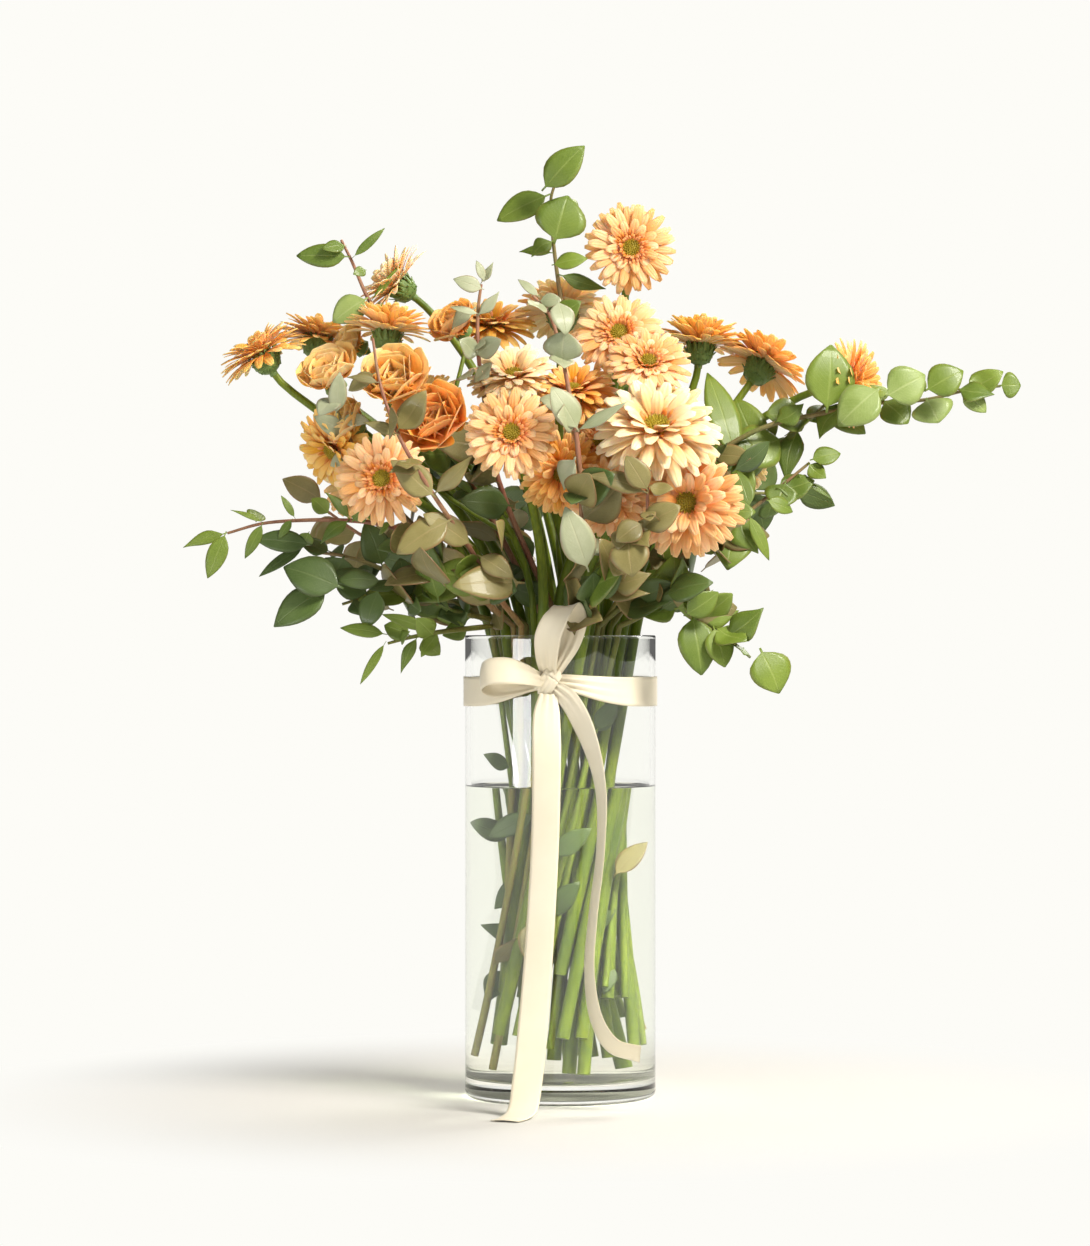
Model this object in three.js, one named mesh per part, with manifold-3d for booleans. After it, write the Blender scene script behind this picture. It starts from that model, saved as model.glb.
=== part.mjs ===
// Cut gerberas, ranunculus and eucalyptus in a tall clear glass cylinder, tied with a satin ribbon.
// Millimetres, +Z up. The vase stands on z = 0 with its axis at x = y = 0, and the bow faces -Y.
import * as THREE from "three";
import { mergeVertices } from "three/addons/utils/BufferGeometryUtils.js";
import Module from "manifold-3d";

const wasm = await Module();
wasm.setup();

// Driving dimensions
const vase = { radius: 62, height: 300, wall: 3.5, floor: 13, edge: 4 };
const waterLevel = 202;
const ribbonWidth = 19;
const ribbonThickness = 1.2;
const gap = 0.35;
// Where the stems lie closest together, how far apart they are there, and how fast they turn above it
const waist = { height: 150, spacing: 8.4, turn: 0.0084 };
const rimHeight = 306;
const gerberaStem = 2.7;
const branchStem = 2;

const colours = {
  peach: 0xfbb77a, pale: 0xffdfb8, deep: 0xf08a3c, ruffled: 0xf6c070,
  green: 0x5e7f3e, sage: 0x9fb184, brown: 0x86733f,
};

// name, centre x y z, facing x y z, radius, colour
const gerberas = [
  ["gerbera_01", 46, 10, 553, 0.05, -1, 0.05, 29, "peach"],
  ["gerbera_02", 38, -15, 495, -0.05, -0.85, 0.45, 29, "peach"],
  ["gerbera_03", 56, -48, 474, 0.05, -0.8, 0.6, 27, "peach"],
  ["gerbera_04", 60, -88, 430, 0.03, -0.69, 0.73, 38, "pale"],
  ["gerbera_05", -31, -98, 427, -0.05, -0.97, 0.2, 29, "peach"],
  ["gerbera_06", -113, -78, 399, -0.1, -0.97, 0.1, 29, "peach"],
  ["gerbera_07", 80, -86, 384, -0.25, -0.95, 0, 33, "peach"],
  ["gerbera_08", 32, -76, 388, -0.1, -0.85, -0.35, 25, "peach"],
  ["gerbera_09", -195, 8, 484, -0.5, -0.1, 0.85, 28, "peach"],
  ["gerbera_10", -160, 38, 496, 0.2, 0.1, 0.95, 27, "peach"],
  ["gerbera_11", -107, 22, 530, -0.8, -0.1, 0.57, 26, "pale"],
  ["gerbera_12", -112, -12, 497, 0.1, 0.1, 1, 26, "deep"],
  ["gerbera_13", -46, 60, 506, 0, -0.35, 0.93, 28, "peach"],
  ["gerbera_14", -30, -34, 466, 0, -0.6, 0.8, 27, "pale"],
  ["gerbera_15", 92, 22, 491, 0.1, 0.1, 1, 27, "peach"],
  ["gerbera_16", 133, 30, 478, 0.5, 0.4, 0.75, 28, "deep"],
  ["gerbera_17", 188, -2, 464, 0.92, -0.35, 0.15, 27, "deep"],
  ["gerbera_18", -146, -28, 420, -0.6, -0.6, -0.4, 26, "deep"],
  ["gerbera_19", 8, -38, 456, 0, -0.5, 0.85, 27, "deep"],
  ["gerbera_20", 0, -58, 404, 0, -0.85, -0.3, 26, "deep"],
  ["gerbera_21", 26, -44, 424, -0.2, -0.8, 0.3, 25, "peach"],
  ["gerbera_22", 52, 92, 466, 0.35, 0.8, 0.5, 29, "peach"],
  ["gerbera_23", -22, 112, 436, 0, 0.95, 0.35, 30, "peach"],
  ["gerbera_24", -92, 88, 450, -0.5, 0.75, 0.5, 29, "deep"],
  ["gerbera_25", 116, 84, 420, 0.6, 0.75, 0.2, 28, "pale"],
  ["gerbera_26", 2, 62, 516, 0.05, 0.5, 0.85, 29, "pale"],
  ["gerbera_27", -134, 66, 404, -0.6, 0.75, 0.1, 28, "peach"],
];

// name, centre x y z, facing x y z, radius, colour
const ranunculus = [
  ["ranunculus_1", -80, -52, 435, -0.25, -0.8, 0.4, 24, "deep"],
  ["ranunculus_2", -106, -45, 460, -0.15, -0.75, 0.6, 22, "ruffled"],
  ["ranunculus_3", -148, -14, 466, -0.35, -0.5, 0.75, 19, "ruffled"],
  ["ranunculus_4", 40, 112, 404, 0.2, 0.95, 0.15, 22, "ruffled"],
];

// Each branch: stem points above the rim, then leaves as base x y z, tip x y z, width
const branches = {
  eucalyptus_01: { colour: "green",
    stem: [[8, -2, 428], [4, 20, 494], [-2, 20, 537], [-5, 20, 563], [-6, 18, 587], [-1, 15, 601]],
    leaves: [[-6, 18, 587, -41, 15, 570, 20], [-6, 18, 588, 21, 12, 617, 22],
      [-3, 20, 553, 5, 22, 585, 34], [-2, 20, 535, 21, 16, 540, 13],
      [-2, 20, 536, 30, 24, 527, 11], [-3, 20, 550, -27, 35, 553, 9]] },
  eucalyptus_02: { colour: "green",
    stem: [[-78, 0, 440], [-102, 5, 486], [-115, 5, 506], [-125, 5, 519], [-136, 5, 544], [-143, 5, 558]],
    leaves: [[-137, 5, 546, -172, 5, 547, 16], [-136, 5, 545, -115, 8, 565, 6],
      [-126, 5, 518, -148, 2, 503, 20], [-124, 5, 517, -104, 8, 543, 5]] },
  eucalyptus_03: { colour: "green",
    stem: [[-100, -54, 366], [-119, -42, 372], [-142, -38, 374], [-168, -32, 374], [-193, -26, 372],
      [-215, -22, 366]],
    leaves: [[-135, -38, 374, -151, -38, 392, 8], [-135, -38, 374, -154, -42, 359, 10],
      [-151, -36, 374, -162, -36, 385, 12], [-172, -31, 374, -181, -31, 389, 5],
      [-172, -31, 374, -181, -33, 361, 6], [-191, -26, 373, -213, -26, 381, 4],
      [-191, -26, 372, -203, -28, 349, 8], [-216, -22, 367, -244, -20, 357, 9],
      [-216, -22, 367, -227, -24, 336, 13]] },
  eucalyptus_04: { colour: "green",
    stem: [[-113, -22, 342], [-139, -25, 351], [-161, -22, 354]],
    leaves: [[-158, -22, 353, -196, -20, 358, 12], [-161, -22, 353, -192, -24, 334, 7],
      [-139, -25, 352, -147, -28, 334, 19], [-113, -28, 342, -126, -10, 372, 16]] },
  eucalyptus_05: { colour: "green",
    stem: [[-79, -38, 318], [-103, -42, 323], [-122, -42, 325], [-140, -42, 320]],
    leaves: [[-140, -42, 319, -178, -40, 335, 21], [-140, -42, 318, -177, -44, 296, 18],
      [-124, -42, 325, -146, -46, 340, 17], [-112, -42, 324, -121, -48, 299, 13],
      [-97, -41, 321, -103, -35, 349, 15]] },
  eucalyptus_06: { colour: "green",
    stem: [[-79, -58, 302], [-95, -60, 299], [-110, -62, 295]],
    leaves: [[-112, -62, 296, -140, -60, 300, 10], [-109, -62, 294, -126, -64, 268, 6],
      [-91, -60, 300, -102, -62, 276, 8], [-77, -58, 304, -89, -62, 286, 9],
      [-82, -58, 304, -114, -60, 312, 8]] },
  eucalyptus_07: { colour: "green",
    stem: [[91, -16, 408], [130, -16, 434], [176, -12, 445], [208, -6, 451], [237, -6, 453], [263, -6, 459],
      [286, -6, 462]],
    leaves: [[208, -4, 451, 235, -4, 466, 20], [209, -4, 450, 225, -14, 436, 17],
      [237, -6, 453, 262, -6, 467, 17], [237, -6, 453, 245, -12, 437, 22],
      [263, -6, 459, 288, -4, 470, 13], [261, -6, 457, 276, -10, 444, 10],
      [285, -6, 462, 299, -6, 462, 13], [208, -4, 451, 180, -12, 427, 21]] },
  eucalyptus_08: { colour: "green",
    stem: [[84, 0, 375], [114, 6, 404], [143, 6, 425], [166, 6, 444], [176, 6, 454]],
    leaves: [[164, 0, 446, 170, 6, 488, 30], [160, 0, 438, 132, -10, 441, 25],
      [143, 0, 427, 109, -12, 412, 29], [156, 0, 434, 146, -8, 399, 16],
      [130, -2, 417, 115, 15, 454, 22], [110, -5, 401, 92, 30, 462, 20]] },
  eucalyptus_09: { colour: "green",
    stem: [[83, -40, 355], [102, -40, 368], [117, -40, 377], [138, -38, 393], [160, -35, 411]],
    leaves: [[159, -35, 410, 170, -40, 400, 12], [160, -35, 411, 180, -32, 416, 14],
      [144, -37, 399, 139, -44, 380, 22], [153, -36, 401, 175, -36, 387, 4],
      [122, -40, 380, 114, -30, 405, 12], [117, -40, 375, 106, -48, 341, 28],
      [117, -40, 377, 131, -40, 347, 9]] },
  eucalyptus_10: { colour: "green",
    stem: [[70, -42, 319], [86, -50, 311], [107, -54, 298], [121, -55, 286]],
    leaves: [[69, -42, 316, 74, -38, 351, 24], [83, -48, 313, 89, -56, 274, 23],
      [97, -52, 305, 104, -60, 279, 17], [120, -55, 287, 133, -58, 259, 26],
      [107, -54, 298, 122, -56, 302, 8], [82, -48, 313, 98, -44, 329, 8]] },
  eucalyptus_11: { colour: "brown",
    stem: [[-42, -58, 328], [-58, -74, 356], [-81, -94, 390], [-101, -96, 424],
      [-114, -84, 459], [-119, -74, 488]],
    leaves: [[-79, -92, 387, -107, -100, 410, 18], [-79, -92, 389, -55, -100, 413, 11],
      [-58, -74, 356, -88, -90, 376, 17], [-68, -86, 370, -103, -94, 350, 20],
      [-37, -50, 323, -80, -78, 321, 22], [-101, -95, 428, -83, -100, 453, 17],
      [-101, -95, 426, -124, -98, 434, 7], [-114, -84, 459, -135, -86, 463, 6]] },
  eucalyptus_12: { colour: "sage",
    stem: [[13, -90, 360], [10, -106, 423], [6, -98, 448], [-1, -80, 484], [-8, -70, 505],
      [-18, -66, 516]],
    leaves: [[1, -86, 472, 3, -92, 492, 26], [9, -106, 427, -7, -110, 455, 19],
      [9, -106, 427, 42, -112, 446, 9], [13, -84, 348, -2, -100, 388, 22],
      [-13, -68, 512, 1, -72, 512, 10], [-14, -68, 513, -28, -66, 524, 6]] },
  eucalyptus_13: { colour: "sage",
    stem: [[-40, -34, 400], [-49, -40, 452], [-53, -38, 484], [-53, -32, 510], [-51, -32, 526]],
    leaves: [[-53, -32, 505, -39, -36, 521, 8], [-54, -32, 504, -72, -36, 509, 5],
      [-52, -38, 479, -66, -46, 489, 15], [-52, -38, 479, -37, -48, 489, 15],
      [-51, -32, 526, -43, -34, 540, 6], [-51, -32, 526, -56, -32, 540, 6]] },
  eucalyptus_14: { colour: "brown",
    stem: [[36, -94, 338], [44, -112, 357], [52, -116, 366], [54, -118, 392]],
    leaves: [[53, -118, 388, 15, -120, 400, 14], [53, -118, 390, 40, -122, 412, 16],
      [54, -118, 392, 70, -122, 390, 11], [52, -116, 365, 75, -122, 380, 20],
      [50, -115, 363, 33, -122, 352, 17], [44, -110, 354, 45, -120, 330, 25],
      [32, -78, 324, 14, -88, 334, 9], [31, -74, 324, 56, -90, 326, 13]] },
  eucalyptus_15: { colour: "sage",
    stem: [[-96, 2, 372], [-126, -30, 407], [-138, -42, 433], [-146, -46, 450]],
    leaves: [[-144, -46, 442, -140, -50, 470, 12], [-140, -43, 438, -122, -50, 436, 10],
      [-136, -38, 428, -158, -44, 440, 13]] },
  eucalyptus_16: { colour: "green",
    stem: [[-30, 92, 372], [-58, 112, 404], [-78, 124, 440]],
    leaves: [[-30, 92, 372, 4, 122, 380, 26], [-40, 100, 384, -66, 118, 366, 26],
      [-58, 112, 404, -38, 138, 418, 24], [-66, 116, 418, -98, 126, 416, 24],
      [-78, 124, 438, -84, 132, 470, 20]] },
  eucalyptus_17: { colour: "green",
    stem: [[70, 86, 360], [98, 104, 384], [132, 112, 396], [160, 116, 392]],
    leaves: [[62, 78, 352, 82, 96, 326, 26], [84, 96, 372, 72, 124, 386, 26],
      [98, 104, 384, 108, 116, 354, 26], [132, 112, 396, 140, 124, 370, 22],
      [132, 112, 396, 144, 112, 420, 22], [158, 116, 392, 186, 116, 382, 18]] },
  eucalyptus_18: { colour: "brown",
    stem: [[-92, 58, 350], [-128, 66, 364], [-160, 66, 386]],
    leaves: [[-84, 54, 346, -92, 74, 320, 24], [-104, 60, 354, -96, 86, 374, 22],
      [-128, 66, 364, -140, 76, 336, 22], [-142, 66, 374, -168, 74, 362, 20],
      [-158, 66, 385, -186, 62, 400, 18]] },
};

// Ribbon stretches: centre x y z, direction across x y z, width
const upperLoop = [
  [-7, -72, 272, 0.9, -0.3, 0.2, 8], [-9, -80, 284, 0.9, -0.4, 0.15, 14], [-8, -87, 300, 0.87, -0.45, 0.15, 18],
  [-2, -88, 313, 0.87, -0.45, 0.1, 18], [4, -81, 320, 0.87, -0.45, 0.1, 18], [8, -74, 312, 0.87, -0.4, 0.1, 18],
  [6, -70, 296, 0.9, -0.3, 0.1, 14], [-4, -70, 276, 0.9, -0.3, 0.1, 8],
];
const leftLoop = [
  [-10, -73, 271, 0.1, -0.4, -0.9, 8], [-20, -82, 275, 0.2, -0.45, -0.87, 15], [-34, -86, 278, 0.1, -0.5, -0.85, 19],
  [-46, -82, 277, 0, -0.5, -0.85, 19], [-50, -74, 273, 0, -0.5, -0.85, 19], [-42, -69, 269, 0, -0.4, -0.9, 18],
  [-26, -69, 269, 0.1, -0.3, -0.9, 13], [-12, -70, 271, 0.1, -0.3, -0.9, 8],
];
const shortTail = [
  [-5, -73, 268, 0.8, -0.3, 0.5, 8], [6, -80, 258, 0.7, -0.55, 0.4, 15], [17, -84, 236, 0.55, -0.8, 0.2, 19],
  [25, -85, 204, 0.35, -0.93, 0, 19], [25, -85, 165, 0.26, -0.96, 0, 19], [20, -85, 121, 0.28, -0.95, 0, 19],
  [18, -86, 86, 0.32, -0.93, 0.1, 19], [23, -88, 57, 0.4, -0.88, 0.2, 19], [33, -91, 42, 0.4, -0.8, 0.4, 19],
  [50, -94, 37, 0.2, -0.75, 0.6, 18],
];
const longTail = [
  [-8, -76, 263, 1, 0, 0, 11], [-9, -80, 250, 1, 0, 0, 17], [-9, -86, 220, 0.95, -0.3, 0, 19], [-10, -93, 170, 0.92, -0.38, 0, 19],
  [-13, -99, 115, 0.93, -0.35, 0.03, 19], [-17, -105, 62, 0.97, -0.2, 0.08, 19], [-21, -111, 22, 0.99, -0.1, 0.1, 19],
  [-24, -117, 5, 0.98, -0.2, 0.03, 19], [-29, -127, 1.2, 0.97, -0.25, 0, 19], [-35, -141, 0.9, 0.95, -0.3, 0, 19],
];

// A closed geometry as a solid, without the slivers that meet on an axis
function solidOf(geometry) {
  const flat = geometry.index ? geometry.toNonIndexed() : geometry;
  const bare = new THREE.BufferGeometry().setAttribute("position", flat.getAttribute("position"));
  const merged = mergeVertices(bare, 1e-4);
  const corners = merged.index.array;
  const kept = [];
  for (let i = 0; i < corners.length; i += 3) {
    const [a, b, c] = [corners[i], corners[i + 1], corners[i + 2]];
    if (a !== b && b !== c && c !== a) kept.push(a, b, c);
  }
  const vertProperties = new Float32Array(merged.attributes.position.array);
  const solid = new wasm.Manifold(new wasm.Mesh({ numProp: 3, vertProperties, triVerts: new Uint32Array(kept) }));
  if (solid.volume() > 0) return solid;
  for (let i = 0; i < kept.length; i += 3) [kept[i], kept[i + 1]] = [kept[i + 1], kept[i]];
  return new wasm.Manifold(new wasm.Mesh({ numProp: 3, vertProperties, triVerts: new Uint32Array(kept) }));
}

function geometryOf(solid) {
  const made = solid.getMesh();
  const positions = new Float32Array(made.numVert * 3);
  for (let i = 0; i < made.numVert; i++) {
    positions.set(made.vertProperties.subarray(i * made.numProp, i * made.numProp + 3), i * 3);
  }
  const geometry = new THREE.BufferGeometry().setAttribute("position", new THREE.BufferAttribute(positions, 3));
  geometry.setIndex(new THREE.BufferAttribute(made.triVerts, 1));
  geometry.computeVertexNormals();
  return geometry;
}

function largestBody(solid) {
  return solid.decompose().sort((a, b) => b.volume() - a.volume())[0];
}

const point = (values) => new THREE.Vector3(values[0], values[1], values[2]);

// Moves a shape whose z counts rows 0, 1, 2... onto a list of placed rows
function bendOnto(geometry, rows) {
  const position = geometry.getAttribute("position");
  const moved = new THREE.Vector3();
  for (let i = 0; i < position.count; i++) {
    const row = rows[Math.round(position.getZ(i))];
    moved.copy(row.centre);
    moved.addScaledVector(row.side, position.getX(i) * (row.wide ?? 1));
    moved.addScaledVector(row.up, position.getY(i));
    position.setXYZ(i, moved.x, moved.y, moved.z);
  }
  return solidOf(geometry);
}

function directionsOf(centres) {
  return centres.map((centre, i) => {
    const before = centres[Math.max(i - 1, 0)];
    const after = centres[Math.min(i + 1, centres.length - 1)];
    return after.clone().sub(before).normalize();
  });
}

function tube(centres, radius, sides) {
  const along = directionsOf(centres);
  let side = new THREE.Vector3(1, 0, 0);
  const rows = centres.map((centre, i) => {
    side = side.clone().addScaledVector(along[i], -side.dot(along[i])).normalize();
    return { centre, side, up: along[i].clone().cross(side) };
  });
  const geometry = new THREE.CylinderGeometry(radius, radius, rows.length - 1, sides, rows.length - 1);
  geometry.rotateX(Math.PI / 2).translate(0, 0, (rows.length - 1) / 2);
  return bendOnto(geometry, rows);
}

function strap(stations, thickness, extra) {
  const along = directionsOf(stations.map(point));
  const rows = stations.map((station, i) => {
    const side = new THREE.Vector3(station[3], station[4], station[5]);
    side.addScaledVector(along[i], -side.dot(along[i])).normalize();
    return { centre: point(station), side, up: along[i].clone().cross(side), wide: station[6] + extra };
  });
  const geometry = new THREE.BoxGeometry(1, thickness + extra, rows.length - 1, 1, 1, rows.length - 1);
  geometry.translate(0, 0, (rows.length - 1) / 2);
  return bendOnto(geometry, rows);
}

// Stems cross in a same-way spiral: every place in the bundle turns and spreads together with height
function bundlePlace(place, height) {
  const rise = (height - waist.height) * waist.turn;
  return new THREE.Vector3(place[0] - rise * place[1], place[1] + rise * place[0], height);
}

function bundlePlaces(count) {
  const places = [];
  for (let row = -6; row <= 6; row++) {
    for (let column = -6; column <= 6; column++) {
      places.push([waist.spacing * (column + (row % 2) / 2), waist.spacing * row * Math.sqrt(0.75)]);
    }
  }
  return places.sort((a, b) => Math.hypot(a[0] - 1, a[1] - 0.5) - Math.hypot(b[0] - 1, b[1] - 0.5)).slice(0, count);
}

// How far a stem leans out from the waist of the bundle to reach its target
const leanTo = (target) => Math.hypot(target.x, target.y) / (target.z - waist.height);

// Gives each stem, the most leaning first, the free place nearest to where it would like to start
function sharePlaces(targets) {
  const free = bundlePlaces(targets.length);
  const shared = [];
  const order = targets.map((_, i) => i).sort((a, b) => leanTo(targets[b]) - leanTo(targets[a]));
  for (const index of order) {
    const target = targets[index];
    const angle = Math.atan2(target.y, target.x) - 1.17;
    const reach = Math.min(leanTo(target) * 80, 31);
    const missed = ([x, y]) => Math.hypot(x - reach * Math.cos(angle), y - reach * Math.sin(angle));
    const best = free.reduce((found, place, i) => (missed(place) < missed(free[found]) ? i : found), 0);
    shared[index] = free.splice(best, 1)[0];
  }
  return shared;
}

const cutHeight = (index) => 18 + 8 * ((index * 5) % 9);

function flowerPath(place, index, neck, facing) {
  const cut = bundlePlace(place, cutHeight(index));
  const rim = bundlePlace(place, rimHeight);
  const leaning = rim.clone().sub(cut).normalize();
  const rise = rim.distanceTo(neck);
  const bend = new THREE.CubicBezierCurve3(
    rim,
    rim.clone().addScaledVector(leaning, rise * 0.5),
    neck.clone().addScaledVector(facing, -Math.min(rise * 0.3, 30)),
    neck,
  );
  return [cut, ...bend.getPoints(6)];
}

function branchPath(place, index, stem) {
  const cut = bundlePlace(place, cutHeight(index));
  const rim = bundlePlace(place, rimHeight);
  const bend = new THREE.CatmullRomCurve3([rim, ...stem.map(point)], false, "centripetal");
  return [cut, ...bend.getPoints(stem.length + 2)];
}

function turned(geometry, centre, facing) {
  geometry.applyQuaternion(new THREE.Quaternion().setFromUnitVectors(new THREE.Vector3(0, 0, 1), facing));
  return geometry.translate(centre.x, centre.y, centre.z);
}

// A ring of petals in profile, with notches between the petal tips
function gerberaHead(centre, facing, radius, extra) {
  const profile = [
    [0, -15 - extra], [5 + extra, -13 - extra], [8 + extra, -4 - extra], [radius + extra, 1 - extra],
    [radius + extra, 3.2 + extra], [9, 3.4 + extra], [0, 5.5 + extra],
  ].map(([x, y]) => new THREE.Vector2(x, y));
  const geometry = new THREE.LatheGeometry(profile, 16).rotateX(Math.PI / 2);
  const position = geometry.getAttribute("position");
  for (let i = 0; i < position.count; i++) {
    const [x, y] = [position.getX(i), position.getY(i)];
    const reach = Math.hypot(x, y);
    const step = Math.round((Math.atan2(y, x) * 8) / Math.PI);
    if (reach > 12 && step % 2) position.setXYZ(i, x * 0.84, y * 0.84, position.getZ(i));
  }
  return solidOf(turned(geometry, centre, facing));
}

function ranunculusHead(centre, facing, radius, extra) {
  const profile = [
    [0, -0.62], [0.35, -0.6], [0.85, -0.3], [1, 0.1], [0.88, 0.45], [0.5, 0.62], [0, 0.66],
  ].map(([x, y]) => new THREE.Vector2(x * (radius + extra), y * (radius + extra)));
  return solidOf(turned(new THREE.LatheGeometry(profile, 12).rotateX(Math.PI / 2), centre, facing));
}

// A flat leaf between a base on the stem and its tip, turned towards the front or back and a little up
function leafSolid(stemPath, leaf, extra) {
  const [base, tip] = [nearestOn(stemPath, point(leaf)), point(leaf.slice(3))];
  const along = tip.clone().sub(base);
  const length = along.length();
  along.normalize();
  const outward = new THREE.Vector3(0, tip.y > 60 ? 1 : -1, 0.35);
  const side = along.clone().cross(outward).normalize();
  const half = leaf[6] / 2;
  const outline = [[0, -0.8], [0.45, -half], [0.8, -half * 0.75], [1, 0], [0.8, half * 0.75], [0.45, half],
    [0, 0.8]];
  const shape = new THREE.Shape(outline.map(([run, across]) =>
    new THREE.Vector2(run * length + Math.sign(run - 0.5) * extra, across + Math.sign(across) * extra)));
  const geometry = new THREE.ExtrudeGeometry(shape, { depth: 1 + extra * 2, bevelEnabled: false });
  geometry.translate(0, 0, -0.5 - extra);
  const frame = new THREE.Matrix4().makeBasis(along, side, along.clone().cross(side));
  geometry.applyMatrix4(frame.setPosition(base));
  return solidOf(geometry);
}

function nearestOn(path, wanted) {
  const found = new THREE.Vector3();
  const best = wanted.clone().setZ(wanted.z + 1e6);
  for (let i = 1; i < path.length; i++) {
    new THREE.Line3(path[i - 1], path[i]).closestPointToPoint(wanted, true, found);
    if (found.distanceTo(wanted) < best.distanceTo(wanted)) best.copy(found);
  }
  return best;
}

function glassVase() {
  const { radius, height, wall, floor, edge } = vase;
  const inner = radius - wall;
  const profile = [
    [0, 0], [radius - edge, 0], [radius - edge * 0.3, edge * 0.3], [radius, edge], [radius, height],
    [inner, height], [inner, floor + 3], [inner - 3, floor], [0, floor],
  ].map(([x, y]) => new THREE.Vector2(x, y));
  return solidOf(new THREE.LatheGeometry(profile, 48).rotateX(Math.PI / 2));
}

function waterBody(stems) {
  const inner = vase.radius - vase.wall - gap;
  const bottom = vase.floor + gap;
  const profile = [[0, bottom], [inner - 3, bottom], [inner, bottom + 3], [inner, waterLevel], [0, waterLevel]]
    .map(([x, y]) => new THREE.Vector2(x, y));
  let water = solidOf(new THREE.LatheGeometry(profile, 48).rotateX(Math.PI / 2));
  for (const stem of stems) water = water.subtract(stem);
  return largestBody(water);
}

// The band round the vase, drawn together towards the knot at the front
function ribbonBand() {
  const [inner, outer] = [vase.radius + gap, vase.radius + gap + ribbonThickness];
  const half = ribbonWidth / 2;
  const profile = [[inner, -half], [outer, -half], [outer, half], [inner, half], [inner, -half]]
    .map(([x, y]) => new THREE.Vector2(x, y));
  const geometry = new THREE.LatheGeometry(profile, 40).rotateX(Math.PI / 2);
  const position = geometry.getAttribute("position");
  for (let i = 0; i < position.count; i++) {
    const front = Math.atan2(position.getX(i) + 7, -position.getY(i));
    const gathered = Math.exp(-((front / 0.5) ** 2));
    position.setZ(i, 263.7 + 7 * gathered + position.getZ(i) * (1 - 0.5 * gathered));
  }
  return solidOf(geometry);
}

function knot(extra) {
  const geometry = new THREE.SphereGeometry(1, 10, 8);
  return solidOf(geometry.scale(9 + extra, 6 + extra, 8 + extra).translate(-8, -70.3, 271));
}

function ribbonBow() {
  return knot(0)
    .add(strap(upperLoop, ribbonThickness, 0))
    .add(strap(leftLoop, ribbonThickness, 0))
    .add(strap(shortTail, ribbonThickness, 0));
}

function meshOf(name, solid, color, roughness, metalness = 0) {
  const mesh = new THREE.Mesh(geometryOf(solid), new THREE.MeshStandardMaterial({ color, roughness, metalness }));
  mesh.name = name;
  return mesh;
}

// A plant is one stem with its head or its leaves; "extra" makes the same shape a little larger
function plantOf(name, path, radius, sides, pieces, color) {
  return {
    name, color, pieces,
    stem: tube(path, radius, sides),
    stemRoom: tube(path, radius + gap, sides),
  };
}

function layOutPlants() {
  const flowers = [
    ...gerberas.map((row) => ({ row, head: gerberaHead, neck: 14 })),
    ...ranunculus.map((row) => ({ row, head: ranunculusHead, neck: row[7] * 0.55 })),
  ];
  const twigs = Object.entries(branches);
  const places = sharePlaces([
    ...flowers.map(({ row }) => point(row.slice(1))),
    ...twigs.map(([, branch]) => point(branch.stem[0])),
  ]);
  const plants = flowers.map(({ row, head, neck }, index) => {
    const centre = point(row.slice(1));
    const facing = point(row.slice(4)).normalize();
    const foot = centre.clone().addScaledVector(facing, -neck);
    const path = flowerPath(places[index], index, foot, facing);
    const piece = (extra) => head(centre, facing, row[7], extra);
    return plantOf(row[0], path, gerberaStem, 5, [piece], colours[row[8]]);
  });
  twigs.forEach(([name, branch], index) => {
    const path = branchPath(places[flowers.length + index], index + 3, branch.stem);
    const pieces = branch.leaves.map((leaf) => (extra) => leafSolid(path, leaf, extra));
    plants.push(plantOf(name, path, branchStem, 4, pieces, colours[branch.colour]));
  });
  return plants;
}

// A stem is nicked where it brushes an earlier one, and heads and leaves give way to every other stem
// and to the heads and leaves that were placed before them
function fitPlants(plants, taken) {
  return plants.map((plant, index) => {
    const others = plants.filter((other) => other !== plant).map((other) => other.stemRoom);
    let whole = plant.stem;
    for (const earlier of plants.slice(0, index)) whole = whole.subtract(earlier.stemRoom);
    const rooms = [];
    for (const piece of plant.pieces) {
      let fitted = piece(0);
      for (const room of [...others, ...taken]) fitted = fitted.subtract(room);
      whole = whole.add(fitted);
      rooms.push(piece(gap));
    }
    taken.push(...rooms);
    return meshOf(plant.name, largestBody(whole), plant.color, 0.65);
  });
}

const bow = ribbonBow();
const tail = strap(longTail, ribbonThickness, 0).subtract(knot(gap));
const glass = glassVase();
const plants = layOutPlants();

const holder = new THREE.Group();
holder.add(meshOf("glass_vase", glass, 0xe4ede8, 0.03));
holder.add(meshOf("water", waterBody(plants.map((plant) => plant.stemRoom)), 0xe9f2e6, 0.02));

const ribbon = new THREE.Group();
ribbon.add(meshOf("ribbon_band", ribbonBand(), 0xfbf3dc, 0.5));
ribbon.add(meshOf("ribbon_bow", bow, 0xfbf3dc, 0.5));
ribbon.add(meshOf("ribbon_tail", largestBody(tail), 0xfbf3dc, 0.5));

const bouquet = new THREE.Group();
bouquet.add(...fitPlants(plants, []));

const arrangement = new THREE.Group();
arrangement.add(holder, ribbon, bouquet);

export default arrangement;
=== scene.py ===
import math
import random

import bpy
from mathutils import Matrix, Vector


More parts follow.
